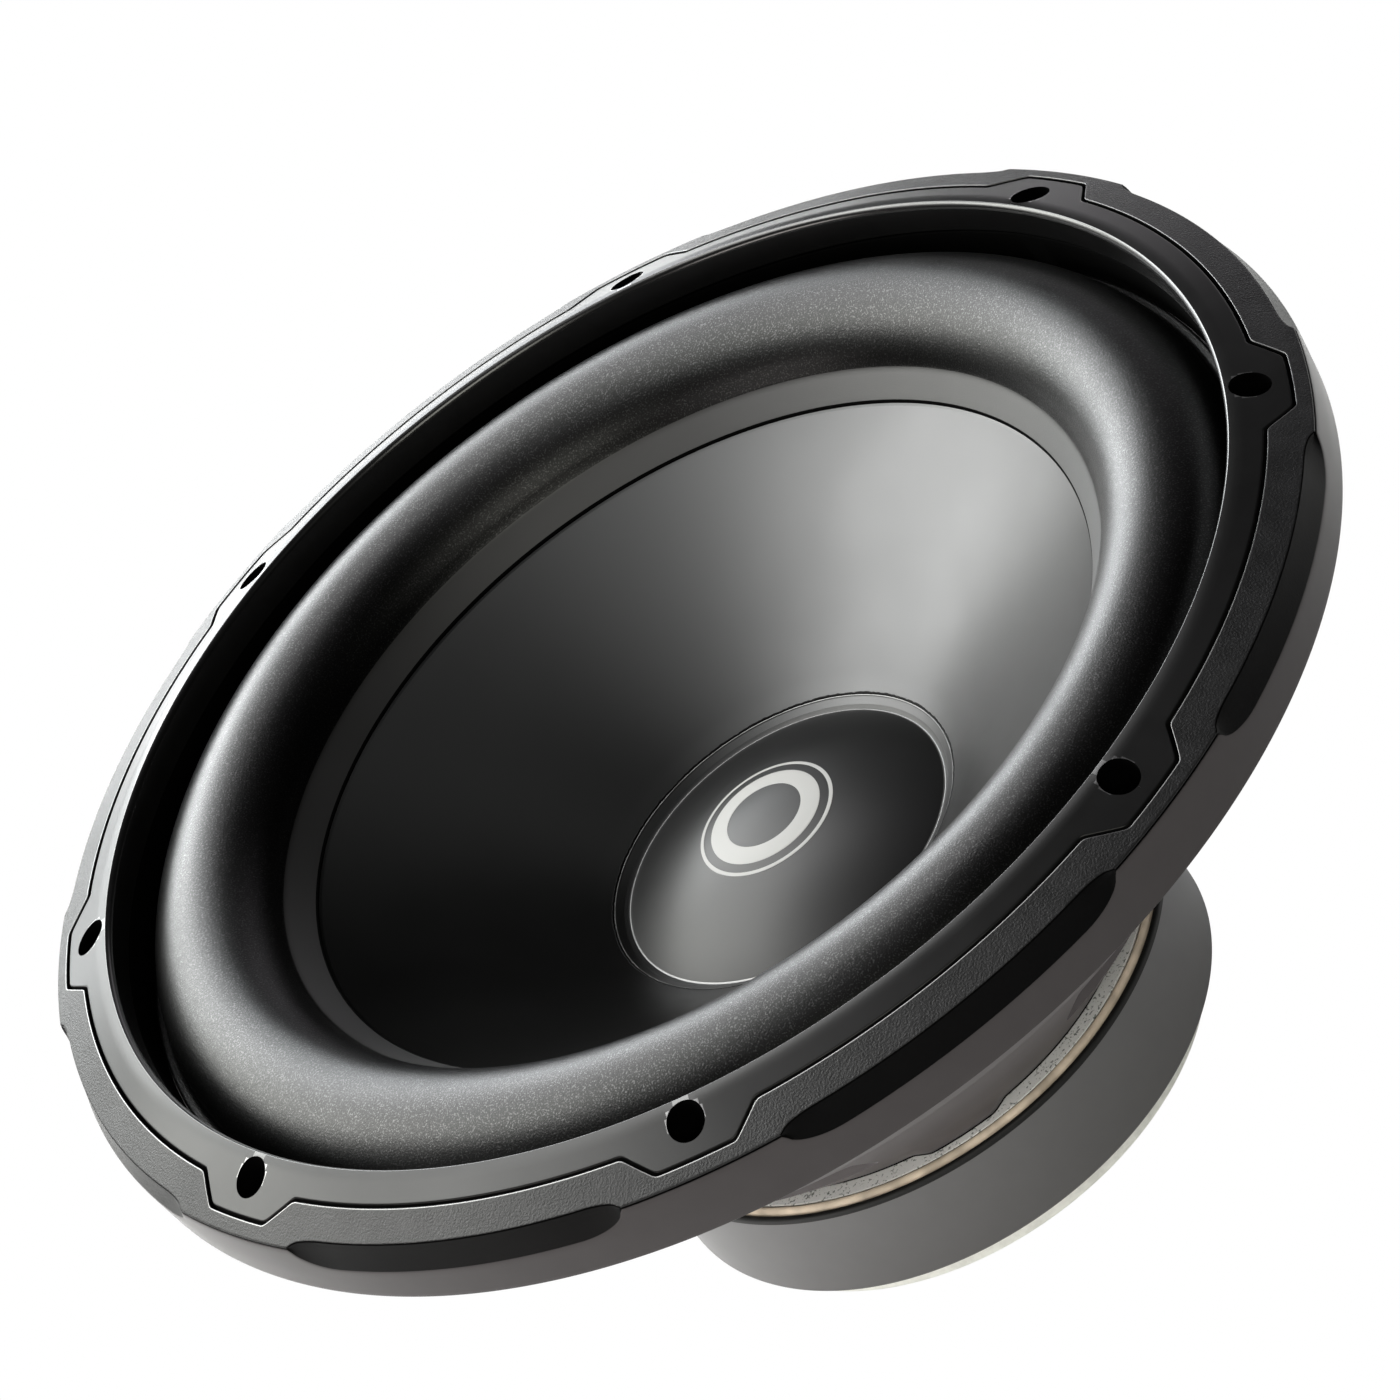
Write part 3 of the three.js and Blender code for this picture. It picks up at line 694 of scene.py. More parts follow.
def paint_bolt_holes(obj, wall_index, rim_index):
    """Gives the walls of the bolt holes and their rounded rims their material indices."""
    centres = face_vectors(obj.data, "center") * 1000
    indices = np.zeros(len(centres), np.int32)
    obj.data.polygons.foreach_get("material_index", indices)
    pitch = math.pi / 4
    bolt = np.round(np.arctan2(centres[:, 1], centres[:, 0]) / pitch) * pitch
    distance = np.hypot(centres[:, 0] - BOLT_R * np.cos(bolt), centres[:, 1] - BOLT_R * np.sin(bolt))
    indices[distance < HOLE_R + 0.27] = rim_index
    indices[distance < HOLE_R + 0.03] = wall_index
    set_materials(obj.data, indices)


def sections(columns):
    """Radii and heights from (r, z) columns, each a number or an array over the angles."""
    return [
        np.stack([np.broadcast_to(np.asarray(pair[k], float), (STEPS,)) for pair in columns], 1)
        for k in (0, 1)]


# ------------------------------------------------------------------ gasket
# Rolled inner lip, smooth conical face, stepped outer edge with eight tabs.
LIP_ROLL = 1.9
roll_r = LIP_R + LIP_ROLL
gasket_edge = outline(-0.5)
face_end = gasket_edge - 0.34
flat_end = np.minimum(151.0, face_end - 0.2)
columns = [(LIP_R, DECK_Z + 0.15), (LIP_R, 17.0), (LIP_R, 21.2)]
for k in range(1, 13):  # the lip's quarter round
    a = math.pi - (math.pi / 2 - math.atan(-SLOPE)) * k / 12
    z = face_z(roll_r) - LIP_ROLL * 1.02 + LIP_ROLL * math.sin(a) - 0.06
    columns.append((roll_r + LIP_ROLL * math.cos(a), z))
for r in (146.6, 148.0, 150.0, flat_end, face_end):
    columns.append((r, face_z(r) - 0.25))
columns += [
    (gasket_edge - 0.18, face_z(gasket_edge - 0.18) - 0.27),
    (gasket_edge - 0.05, face_z(gasket_edge) - 0.34),
    (gasket_edge, face_z(gasket_edge) - 0.48),
    (gasket_edge, face_z(gasket_edge) - 1.4),
    (gasket_edge, DECK_Z + 0.15),
]
gasket = loft("gasket_ring_fine", *sections(columns), ANGLES)
boolean(gasket, [bolt_cutter(8, 30)])
bevel_edges(gasket, angle=50, width=0.28)
# hole walls in near-black painted shade, their rims in the lighter painted highlight
paint_bolt_holes(gasket, wall_index=1, rim_index=2)
for face in gasket.data.polygons:  # the rolled lip is glossier than the face
    if math.hypot(face.center.x, face.center.y) * 1000 < LIP_R + 1.95:
        face.material_index = 3
put(gasket, "frame", "gasket_plastic", "gasket", "shade_black", "edge", "lip")

# ------------------------------------------------------------------ trim
# Grained front, a pocket midway between bolts, parting-line notch and pockets in near-black painted
# shade, smooth skirt.
from_pocket = np.abs(DEGREES % BOLT_PITCH - 22.5)


def scoop(length):
    """How far a pocket is open at each angle: a quarter ellipse from its tip."""
    t = np.clip((15.55 - from_pocket) / length, 0, 1)
    return np.sqrt(1 - (1 - t) ** 2)


scoop_face = scoop(3.0)
scoop_side = scoop(4.4)
groove = outline(0.34)
front_start = np.maximum(groove + 0.8, 156.2)
rim = TRIM_R - 0.2
# the outer edge from the front back to the skirt, (r, z): between pockets, then inside one
plain = [
    (rim - 0.55, face_z(rim - 0.55)), (rim - 0.22, face_z(rim - 0.22) - 0.02),
    (rim - 0.03, face_z(rim) - 0.16), (rim - 0.42, face_z(rim) - 0.34),
    (rim - 0.40, face_z(rim) - 0.46), (rim + 0.02, face_z(rim) - 0.62),
    (rim + 0.16, face_z(rim) - 0.95), (rim + 0.14, face_z(rim) - 2.2),
    (rim + 0.06, face_z(rim) - 3.4),
]
pocket = [
    (159.55, face_z(159.55)), (159.80, face_z(159.80) - 0.02), (159.92, face_z(159.92) - 0.34),
    (160.34, 14.80), (161.05, 12.35), (161.84, 9.90), (161.92, 9.62), (161.91, 9.20),
    (161.88, 8.60),
]
# material index of each strip of the outer edge; the notch strips are near-black painted shade, and
# in a pocket the rounded front edge is a painted shade line
PLAIN_STRIPS = (0, 0, 2, 2, 2, 1, 1, 1)
POCKET_STRIPS = (0, 3, 2, 2, 2, 1, 1, 1)

columns = [
    (LIP_R + 0.1, 2.3),
    (LIP_R + 0.1, 12.9),
    (LIP_R + 0.16, 13.25),
    (LIP_R + 0.45, 13.45),
    (groove, 13.45),
    (groove, face_z(groove) - 1.2),
    (groove, face_z(groove) - 0.34),
    (groove + 0.05, face_z(groove) - 0.14),
    (groove + 0.16, face_z(groove) - 0.05),
    (groove + 0.36, face_z(groove + 0.36)),
    (front_start, face_z(front_start)),
]
edge_start = len(columns)
for k, (p, q) in enumerate(zip(plain, pocket)):
    share = scoop_face if k <= 2 else scoop_side
    columns.append((p[0] + (q[0] - p[0]) * share, p[1] + (q[1] - p[1]) * share))
edge_end = len(columns)
columns += [
    (SKIRT_R + 0.80, 7.8), (SKIRT_R + 0.45, 4.5), (SKIRT_R + 0.12, 1.2), (SKIRT_R + 0.02, 0.22),
    (SKIRT_R - 0.12, 0.06), (SKIRT_R - 0.40, 0.02), (159.5, 0.02), (159.5, 2.3),
]
indices = np.zeros((STEPS, len(columns)), int)
indices[:, edge_end - 1:] = 1
opened = np.maximum(scoop_side, np.roll(scoop_side, -1)) > 0.02
for k, (plain_index, pocket_index) in enumerate(zip(PLAIN_STRIPS, POCKET_STRIPS)):
    indices[:, edge_start + k] = np.where(opened, pocket_index, plain_index)
# the groove's top bevel gets the lighter painted highlight; the inner wall and the groove get the
# near-black painted shade
indices[:, 6:9] = 4
indices[:, :6] = 3
trim = loft("trim_ring_fine", *sections(columns), ANGLES, indices=indices)
boolean(trim, [bolt_cutter(-5, 20)])
shade_smooth(trim.data)
smooth_normals(trim.data)
# hole walls and rims of the trim in near-black painted shade
paint_bolt_holes(trim, wall_index=3, rim_index=3)
put(trim, "frame", "trim_plastic", "trim", "skirt", "pocket", "shade_black", "edge")

# ------------------------------------------------------------------ basket
WALL_T = 1.6
CREASE_R, CREASE_Z = 122.8, -31.3
FOOT_R = 64.65
LOBE_ANGLE, LOBE_REACH = 238.7, 2.15  # six lobes round the foot
wall_step = WALL_T / abs(wall_z)  # radial thickness of the wall
inner_foot_r = wall_radius(FOOT_Z + 3.3) - wall_step

from_lobe = np.abs((DEGREES - LOBE_ANGLE + 30) % 60 - 30)
lobes = LOBE_REACH * smooth_periodic(np.clip((10.95 - from_lobe) / 3.6, 0, 1), 1.0)
rounded = np.array(fillet([
    (159.0, 0.0, 0.3),
    (159.0, FLANGE_T, 0.6),
    (138.5, FLANGE_T, 0.8),
    (136.9, 0.2, 1.0),
    (120.6, -31.3, 1.0),
    (inner_foot_r, FOOT_Z + 3.3, 1.6),
    (inner_foot_r - 2.2, BASE_Z, 1.6),
    (34.0, BASE_Z, 0.3),
    (34.0, FOOT_Z, 0.3),
    (FOOT_R, FOOT_Z, 0.1),
    (FOOT_R, FOOT_Z + 0.45, 0.12),
    (CREASE_R, CREASE_Z, 0.4),
    (139.0, -1.6, 1.6),
    (140.8, 0.0, 1.0),
]))
profile = [rounded[0]]
for p, q in zip(rounded[:-1], rounded[1:]):
    # extra rings low on the outer wall, where the lobes fade out
    if p[0] < 100 and q[0] > 100 and q[1] > p[1] and p[1] < FOOT_Z + 6:
        profile += [p + (q - p) * t for t in (0.02, 0.045, 0.075, 0.11, 0.15, 0.2, 0.3)]
    profile.append(q)
profile = np.array(profile)
radii = np.repeat(profile[None, :, 0], STEPS, 0)
heights = np.repeat(profile[None, :, 1], STEPS, 0)
near_foot = np.clip(1 - (profile[:, 1] - (FOOT_Z + 0.5)) / 13.0, 0, 1) * (profile[:, 0] > 60.0)
near_foot = near_foot * near_foot * (3 - 2 * near_foot)
radii += lobes[:, None] * near_foot[None, :]
basket = loft("basket_fine", radii[::2], heights[::2], ANGLES[::2])


def bend(corner, start, end):
    """The inner points of a curve that rounds a corner."""
    c, s, e = map(np.array, (corner, start, end))
    stations = np.linspace(0, 1, 7)[1:-1]
    return [tuple((1 - t) ** 2 * s + 2 * t * (1 - t) * c + t * t * e) for t in stations]


def window_side(start, end):
    return [tuple(np.array(start) * (1 - t) + np.array(end) * t) for t in (0.16, 0.5, 0.84)]


def window_cutter(middle):
    """A prism in z with rounded corners, centred on an angle."""
    rim_arc = [polar(117.0, middle + t * 14.5) for t in np.linspace(-1, 1, 25)]
    foot_arc = [polar(88.5, middle + t * 13.5) for t in np.linspace(1, -1, 25)]
    outer, inner = rim_arc[2:23], foot_arc[2:23]
    left = window_side(rim_arc[-1], foot_arc[0])
    right = window_side(foot_arc[-1], rim_arc[0])
    loop = outer + bend(rim_arc[-1], outer[-1], left[0]) + left
    loop += bend(foot_arc[0], left[-1], inner[0]) + inner
    loop += bend(foot_arc[-1], inner[-1], right[0]) + right
    loop += bend(rim_arc[0], right[-1], outer[0])
    return prism("w", loop, -80.0, -20.0)


windows = [window_cutter(RIVET_ANGLE + 30 + RIVET_PITCH * i) for i in range(6)]
boolean(basket, [joined("windows", windows), bolt_cutter(-5, 8)])
bevel_edges(basket, angle=40, width=0.4)

# below the crease a slightly darker, less glossy copy of the paint as painted shade; near-black
# painted contact shadow on the outer edge of the foot
centres = face_vectors(basket.data, "center") * 1000
normals = face_vectors(basket.data, "normal")
centre_r = np.hypot(centres[:, 0], centres[:, 1])
outward = (normals[:, 0] * centres[:, 0] + normals[:, 1] * centres[:, 1]) / centre_r
indices = np.zeros(len(centres), np.int32)
indices[centres[:, 2] < CREASE_Z] = 1
indices[(centres[:, 2] < FOOT_Z + 0.46) & (centre_r > FOOT_R - 0.2) & (outward > 0.6)] = 2
set_materials(basket.data, indices)
put(basket, "frame", "basket_paint", "basket", "lower", "shade_black")

# ------------------------------------------------------------------ surround
# Half roll between frame and cone, with a landing ring inside its foot.
ROLL_R = 123.0  # radius of the roll's centre line
ROLL_SIZE = 17.4
ROLL_Z = CREST_Z - ROLL_SIZE


def roll_arc(size, start, end, count):
    arc = np.radians(np.linspace(start, end, count))
    return [(ROLL_R + size * math.cos(a), ROLL_Z + size * math.sin(a)) for a in arc]


surround = lathe("surround_fine", [
    (143.25, 2.2), (143.3, 2.45), (143.3, 3.35), (143.1, 3.6), (142.6, 3.65), (141.6, 3.6),
    (140.9, 3.75), (140.5, 4.05),
    *roll_arc(ROLL_SIZE, 4, 158, 56),
    (106.35, 8.0), (105.95, 7.35), (105.6, 6.85), (105.0, 6.25), (103.5, 4.68), (101.6, 2.68),
    (100.7, 1.75), (100.45, 1.42), (100.32, 1.15), (100.3, 0.95), (100.6, 1.05), (101.4, 1.9),
    (103.8, 4.4),
    *roll_arc(ROLL_SIZE - 1.3, 156, 6, 40),
    (138.6, 2.2),
], 480)
# the step down onto the cone, inside the landing ring, is near-black painted shade
paint(surround, lambda r, z, up: 2 if r < 100.72 else 1 if r < 105.9 and z < 7.6 else 0)
put(surround, None, "surround_rubber", "surround", "landing", "shade_black")
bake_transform(surround)

# ------------------------------------------------------------------ cone
cone = turned("cone_fine", [
    (26.5, -55.5, 0.2),
    (27.6, -55.5, 0.3),
    (27.6, -51.4, 1.5),
    (CONE_RIM_R, cone_z(CONE_RIM_R) - 1.2, 1.5),
    (105.5, 4.3, 0.3),
    (104.9, 5.0, 0.3),
    (99.9, 0.45, 0.6),
    *[(r, cone_z(r), 0) for r in np.arange(97.0, 45.0, -2.0)],
    (NECK_R, NECK_Z, 0.3),
    (26.5, -50.9, 0.2),
], 480)
put(cone, "cone_assembly", "cone_poly", "cone")

# ------------------------------------------------------------------ dust cap
DOME_R, DOME_EDGE_Z = 41.1, -40.05
CAP_TOP = top("dust_cap")
dome_rise = CAP_TOP - DOME_EDGE_Z
SPHERE_R = (DOME_R**2 + dome_rise**2) / (2 * dome_rise)


def dome(r, depth=0.0):
    """Height of the cap's front at radius r, or of the surface depth below it."""
    return CAP_TOP - depth - SPHERE_R + math.sqrt(SPHERE_R * SPHERE_R - r * r)


FRONT_STATIONS = (0, 0.6, 2, 4, 6, 8, 10, 12, 14, 16, 18, 20, 22, 24, 26, 28, 30, 32, 34, 36,
                  37.5, 38.8, 39.8, 40.6)
cap = lathe("dust_cap_fine", [
    *[(r, dome(r)) for r in FRONT_STATIONS],
    (41.0, dome(40.98) - 0.02),
    # the groove and the flared flange
    (41.22, -40.17), (41.45, -40.16), (42.0, -39.88), (43.0, -39.26), (43.9, -38.62),
    (44.2, -38.30), (44.38, -38.20), (44.42, -38.28), (44.36, -38.38),
    (43.6, cone_z(43.6) + 0.08), (41.5, cone_z(41.5) + 0.1), (40.8, dome(40.6) - 0.6),
    *[(r, dome(r, 0.6)) for r in (39.5, 36, 30, 24, 18, 12, 6, 0)],
], 360, closed=False)
# forward-facing faces of the groove at the dome's foot and of the flange's outer rim get the painted
# highlight lines
paint(cap, lambda r, z, up: int(up > 0.0 and (41.08 < r < 41.46 or r > 44.18) and z > -41))
put(cap, "cone_assembly", "cap_poly", "cap", "cap_highlight_line")


def printed_ring(name, r0, r1):
    """A thin ring that follows the dome."""
    stations = np.linspace(r0, r1, 10)
    front = [(r, dome(r) + 0.05) for r in stations]
    return lathe(name, front + [(r, dome(r) + 0.005) for r in stations[::-1]], 240)


# one broad silver ring and a fine one outside it
cap_print = joined("cap_print", [printed_ring("p1", 9.6, 14.2), printed_ring("p2", 16.4, 17.3)])
smooth_normals(cap_print.data)
put(cap_print, "cone_assembly", "cap_poly", "print")

# ragged bead of glue round the cap's flange, near-black and dull as painted shade for the dark line
# outside the flange
BEAD_STEPS = 720
bead_angles = circle(BEAD_STEPS)
WAVES = (17, 29, 43, 71, 97, 131, 167, 211)  # ripples round the bead
ripple = np.zeros(BEAD_STEPS)
for k in WAVES:
    ripple += rng.uniform(0.3, 1.0) * np.sin(k * bead_angles + rng.uniform(0, 6.28)) / 8 ** 0.5
bead_r = 0.33 + 0.07 * ripple
SIDES = 8
radii = np.zeros((BEAD_STEPS, SIDES))
heights = np.zeros((BEAD_STEPS, SIDES))
for j in range(SIDES):
    a = 2 * math.pi * j / SIDES
    radii[:, j] = 44.62 + 0.08 * ripple + bead_r * math.cos(a)
    heights[:, j] = (cone_z(44.55) + 0.10 + 0.7 * bead_r * math.sin(a)
                     + CONE_SLOPE * bead_r * math.cos(a))
put(loft("cap_glue_line", radii, heights, bead_angles), "cone_assembly", "adhesive", "cap_glue_shade")

# ------------------------------------------------------------------ motor
plate_edge = PLATE_R + 0.3
PLATE_BACK, PLATE_FRONT = -94.15, -86.3
plate = turned("top_plate_fine", [
    (28.2, PLATE_BACK, 0.3), (plate_edge, PLATE_BACK, 0.3),
    (plate_edge, PLATE_FRONT, 0.15), (28.2, PLATE_FRONT, 0.3),
], 360)
put(plate, "frame", "zinc_plate", "zinc")

magnet = turned("ferrite_magnet_fine", [
    (31, -114.15, 0.8), (69, -114.15, 0.8), (69, -94.25, 0.8), (31, -94.25, 0.8),
], 180)
put(magnet, "frame", "ferrite", "ferrite")

# back plate and hollow pole in one
yoke = turned("yoke_fine", [
    (14.5, BACK_Z, 0.5), (YOKE_R, BACK_Z, 1.1), (YOKE_R, -114.2, 0.4), (24.8, -114.2, 0.5),
    (24.8, -85.0, 0.8), (12.0, -85.0, 0.5), (10.5, -86.6, 0.6), (10.5, BACK_Z + 4.0, 1.6),
], 360)
put(yoke, "frame", "bright_zinc", "bright")

BOOT_LIP_Z = -88.9
boot = turned("magnet_boot_fine", [
    (69.35, -114.4, 0.3), (BOOT_R - 0.25, -114.4, 1.0), (BOOT_R, -92.0, 0),
    (BOOT_R, BOOT_LIP_Z, 0), (BOOT_R, -87.3, 0.9), (70.75, -87.3, 0.5),
    (70.75, -95.0, 0.3), (69.35, -95.0, 0.3),
], 360, seg=5)
paint(boot, lambda r, z, up: int((z > BOOT_LIP_Z and r > 70.6) or (z > -94 and r < 71.2)))
put(boot, "frame", "boot_rubber", "boot", "boot_lip")

# adhesive bead: slow waves round it, with lumps on top
waves = np.zeros(BEAD_STEPS)
for k in range(3, 60):
    waves += rng.normal() / (1 + k / 9.0) * np.sin(k * bead_angles + rng.uniform(0, 6.28))
waves /= np.abs(waves).max()
lumps = np.zeros(BEAD_STEPS)
for k in range(22):
    centre = rng.uniform(0, 2 * math.pi)
    away = (bead_angles - centre + math.pi) % (2 * math.pi) - math.pi
    height = rng.uniform(0.2, 0.5)
    lumps += height * np.exp(-(away / math.radians(rng.uniform(0.35, 0.7))) ** 2)
# r, z, and how far the waves and lumps shift r and z
base_r, base_z, shift_r, shift_z = np.array([
    (69.05, -93.5, 0, 0), (70.68, -93.5, 0, 0), (70.68, -88.6, 0, 0), (70.62, -87.6, 0.02, 0.1),
    (70.38, -86.9, 0.05, 0.2), (69.95, -86.4, 0.03, 0.22), (69.45, -86.12, -0.08, 0.14),
    (69.02, -86.25, -0.1, 0.0),
]).T
radii = base_r + shift_r * waves[:, None]
heights = base_z + shift_z * (0.6 * waves + 0.9 * lumps)[:, None]
bead = loft("adhesive_bead_fine", radii, heights, bead_angles)
put(bead, "frame", "adhesive", "glue")

for i in range(6):
    rivet = turned("basket_rivet_%d_fine" % (i + 1), [
        (0, -93.5, 0), (2.2, -93.5, 0.2), (2.2, FOOT_Z + 1.9, 0), (4.6, FOOT_Z + 1.9, 0.2),
        (4.5, FOOT_Z + 2.7, 0.4), (3.0, FOOT_Z + 3.75, 0.5), (1.1, FOOT_Z + 3.75, 0.3),
        (0.8, FOOT_Z + 3.2, 0.3), (0, FOOT_Z + 3.1, 0),
    ], 40, closed=False)
    move(rivet, *polar(47.5, RIVET_ANGLE + RIVET_PITCH * i))
    put(rivet, "frame", "rivet_steel", "steel")

# vent screen, perforated on a triangular grid
HOLE_PITCH = 2.2
screen = rod("vent_screen_fine", 10.2, BACK_Z + 4.4, BACK_Z + 5.2, 96, corner=0.15, corner_top=0.15)
holes = []
for column in range(-4, 5):
    for row in range(-4, 5):
        x = HOLE_PITCH * (column + row / 2)
        y = HOLE_PITCH * row * math.sqrt(3) / 2
        if math.hypot(x, y) < 8.6:
            holes.append(rod("h", 0.78, BACK_Z + 3, BACK_Z + 7, 14, x=x, y=y))
boolean(screen, [joined("holes", holes)])
sharpen_edges(screen, angle=40)
put(screen, "frame", "screen_steel", "screen")

# ------------------------------------------------------------------ voice coil
former = turned("voice_coil_former_fine", [
    (25.45, -103.0, 0.1), (25.95, -103.0, 0.1), (25.95, -47.5, 0.1), (25.45, -47.5, 0.1),
], 180, seg=2)
put(former, "cone_assembly", "former_film", "former")

COIL_INNER_R, COIL_BACK, COIL_FRONT = 26.05, -102.2, -78.2
TURNS = 34
turn_z = np.linspace(COIL_BACK, COIL_FRONT, TURNS + 1)
profile = [(COIL_INNER_R, COIL_BACK)]
for start, end in zip(turn_z[:-1], turn_z[1:]):
    for t, r in ((0.12, 27.22), (0.5, 27.4), (0.88, 27.22)):
        profile.append((r, start + (end - start) * t))
profile.append((COIL_INNER_R, COIL_FRONT))
put(lathe("voice_coil_winding_fine", profile, 180), "cone_assembly", "copper", "copper")

neck = turned("neck_adhesive_fine", [
    (26.1, -50.0, 0), (29.4, -48.35, 0.2), (27.6, -48.1, 0.8), (26.1, -47.2, 0.1),
], 180)
put(neck, "cone_assembly", "adhesive", "glue")

# ------------------------------------------------------------------ spider
# Corrugated cloth disc: five waves between a collar on the former and a flat rim.
SPIDER_Z = -60.0
WAVE_START, WAVE_SPAN = 30.0, 44.0
front, back = [], []
for r in np.linspace(WAVE_START, WAVE_START + WAVE_SPAN, 90):
    t = (r - WAVE_START) / WAVE_SPAN
    fade = min(1.0, min(t, 1 - t) * 8)
    z = SPIDER_Z + 0.5 + 1.9 * fade * math.sin(t * 2 * math.pi * 5)
    front.append((r, z + 0.25))
    back.append((r, z - 0.25))
# (r, height over SPIDER_Z)
COLLAR = [(28.2, 0.2), (27.0, -0.6), (26.5, -1.4), (26.45, 2.4), (26.95, 2.4), (27.3, 1.3),
          (28.4, 0.8)]
spider = lathe("spider_fine", [
    (84.6, SPIDER_Z + 0.15), (75.2, SPIDER_Z + 0.15),
    *back[::-1],
    *[(r, SPIDER_Z + z) for r, z in COLLAR],
    *front,
    (75.2, SPIDER_Z + 0.7), (84.4, SPIDER_Z + 0.7), (84.6, SPIDER_Z + 0.6),
], 240)
put(spider, None, "spider_cloth", "cloth")
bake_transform(spider)

landing = turned("spider_landing_ring_fine", [
    (75, -67, 0.3), (77.7, -67, 0.4), (85.0, -61.1, 0.4), (85.0, -60, 0.4), (75, -60, 0.5),
], 240)
put(landing, "frame", "black_plastic", "black")

# ------------------------------------------------------------------ terminal
# Its own frame lies on the basket's wall: x across, y up the wall, z away from it.
TERMINAL_R = 104.0
SOCKET_X, SCREW_X = 8.5, 20.3
outwards = Vector((math.cos(math.radians(TERMINAL_ANGLE)), math.sin(math.radians(TERMINAL_ANGLE)), 0))
axis_y = outwards * wall_r + Vector((0, 0, wall_z))
axis_z = outwards * wall_z + Vector((0, 0, -wall_r))
axis_x = axis_y.cross(axis_z)
origin_z = WALL_TOP_Z - (WALL_TOP_R - TERMINAL_R) * wall_z / wall_r
origin = outwards * TERMINAL_R + Vector((0, 0, origin_z))
TERMINAL = Matrix((
    (axis_x.x, axis_y.x, axis_z.x, origin.x * MM),
    (axis_x.y, axis_y.y, axis_z.y, origin.y * MM),
    (axis_x.z, axis_y.z, axis_z.z, origin.z * MM),
    (0, 0, 0, 1),
))


def put_on_terminal(obj, body, slot, key):
    obj.data.transform(TERMINAL)
    put(obj, body, slot, key)


def cross_x(x, half_width):
    return x - half_width, x + half_width


block = slab("terminal_block_fine", (-16.5, 16.5), (-8.5, 8.5), (0.9, 12.0), corner=1.6)
boolean(block, [
    slab("ear", (-24.5, 24.5), (-5, 5), (0.9, 3.2), corner=4.2),
    rod("s1", 6.1, 2.0, 14.6, x=-SOCKET_X),
    rod("s2", 6.1, 2.0, 14.6, x=SOCKET_X),
], "UNION")
boolean(block, [
    rod("b1", 4.75, 2.4, 30, x=-SOCKET_X),
    rod("b2", 4.75, 2.4, 30, x=SOCKET_X),
    rod("h1", 1.9, -9, 9, 32, x=-SCREW_X),
    rod("h2", 1.9, -9, 9, 32, x=SCREW_X),
    box("t1", (-10.7, -6.3), (-1, 1), (-9, 5)),
    box("t2", (6.3, 10.7), (-1, 1), (-9, 5)),
    # a flat recess between the sockets
    slab("r1", (-1.2, 1.2), (-6.5, 6.5), (11.2, 20), corner=0.5),
])
bevel_edges(block, angle=35, width=0.35)
put_on_terminal(block, "frame", "black_plastic", "black")


def add_contact(x, tag):
    """A disc at the socket's floor, with a tab through the back."""
    contact = rod("terminal_contact_%s_fine" % tag, 4.1, 2.6, 3.2, 40, x=x,
                  corner=0.1, corner_top=0.15)
    tab = slab("tab", cross_x(x, 1.6), (-0.4, 0.4), (-9, 3), corner=0.15, seg=2)
    boolean(contact, [tab], "UNION")
    bevel_edges(contact, angle=35, width=0.1, segments=1)
    put_on_terminal(contact, "frame", "contact_brass", "tin")


def add_button(x, tag, key):
    """A push button with a cross hole for the wire and grip notches round the rim."""
    button = turned("terminal_button_%s_fine" % tag, [
        (0, 9.0, 0), (4.2, 9.0, 0.4), (4.2, 17.8, 0.2), (5.3, 17.8, 0.5), (5.3, 19.8, 0.7),
        (3.9, 19.8, 0.3), (3.3, 19.35, 0.3), (0, 19.35, 0),
    ], 64, closed=False)
    move(button, x, 0)
    hole = rod("h", 1.4, -10, 10, 32)
    hole.data.transform(Matrix.Rotation(math.radians(90), 4, "X"))
    move(hole, x, 0, 16.2)
    cutters = [hole]
    for k in range(12):
        notch_x, notch_y = polar(5.45, 30 * k)
        cutters.append(rod("n", 0.42, 17.0, 21.0, 12, x=x + notch_x, y=notch_y))
    boolean(button, cutters)
    sharpen_edges(button, angle=38)
    put_on_terminal(button, "button_%s" % tag, "button_%s" % key, key)


def add_spring(x, tag):
    """Three turns of wire under the button."""
    t = np.linspace(0, 1, 150)
    a = t * 3 * 2 * math.pi
    helix = np.stack([x + 3.3 * np.cos(a), 3.3 * np.sin(a), 3.75 + 4.75 * t], 1)
    spring = tube("terminal_spring_%s_fine" % tag, helix, 0.38, 10)
    spring.data.transform(TERMINAL)
    put_wire(spring, "spring")
    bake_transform(spring)


def from_terminal(x, y, z):
    """A point of the terminal's frame, in mm round the driver's axis."""
    return np.array(TERMINAL @ (Vector((x, y, z)) * MM)) * 1000


def catmull(points, steps=26):
    """A smooth curve through the points."""
    points = [2 * points[0] - points[1]] + points + [2 * points[-1] - points[-2]]
    out = []
    for p0, p1, p2, p3 in zip(points, points[1:], points[2:], points[3:]):
        for t in np.linspace(0, 1, steps, endpoint=False):
            out.append(0.5 * ((2 * p1) + (-p0 + p2) * t + (2 * p0 - 5 * p1 + 4 * p2 - p3) * t**2
                              + (-p0 + 3 * p1 - 3 * p2 + p3) * t**3))
    out.append(points[-2])
    return np.array(out)


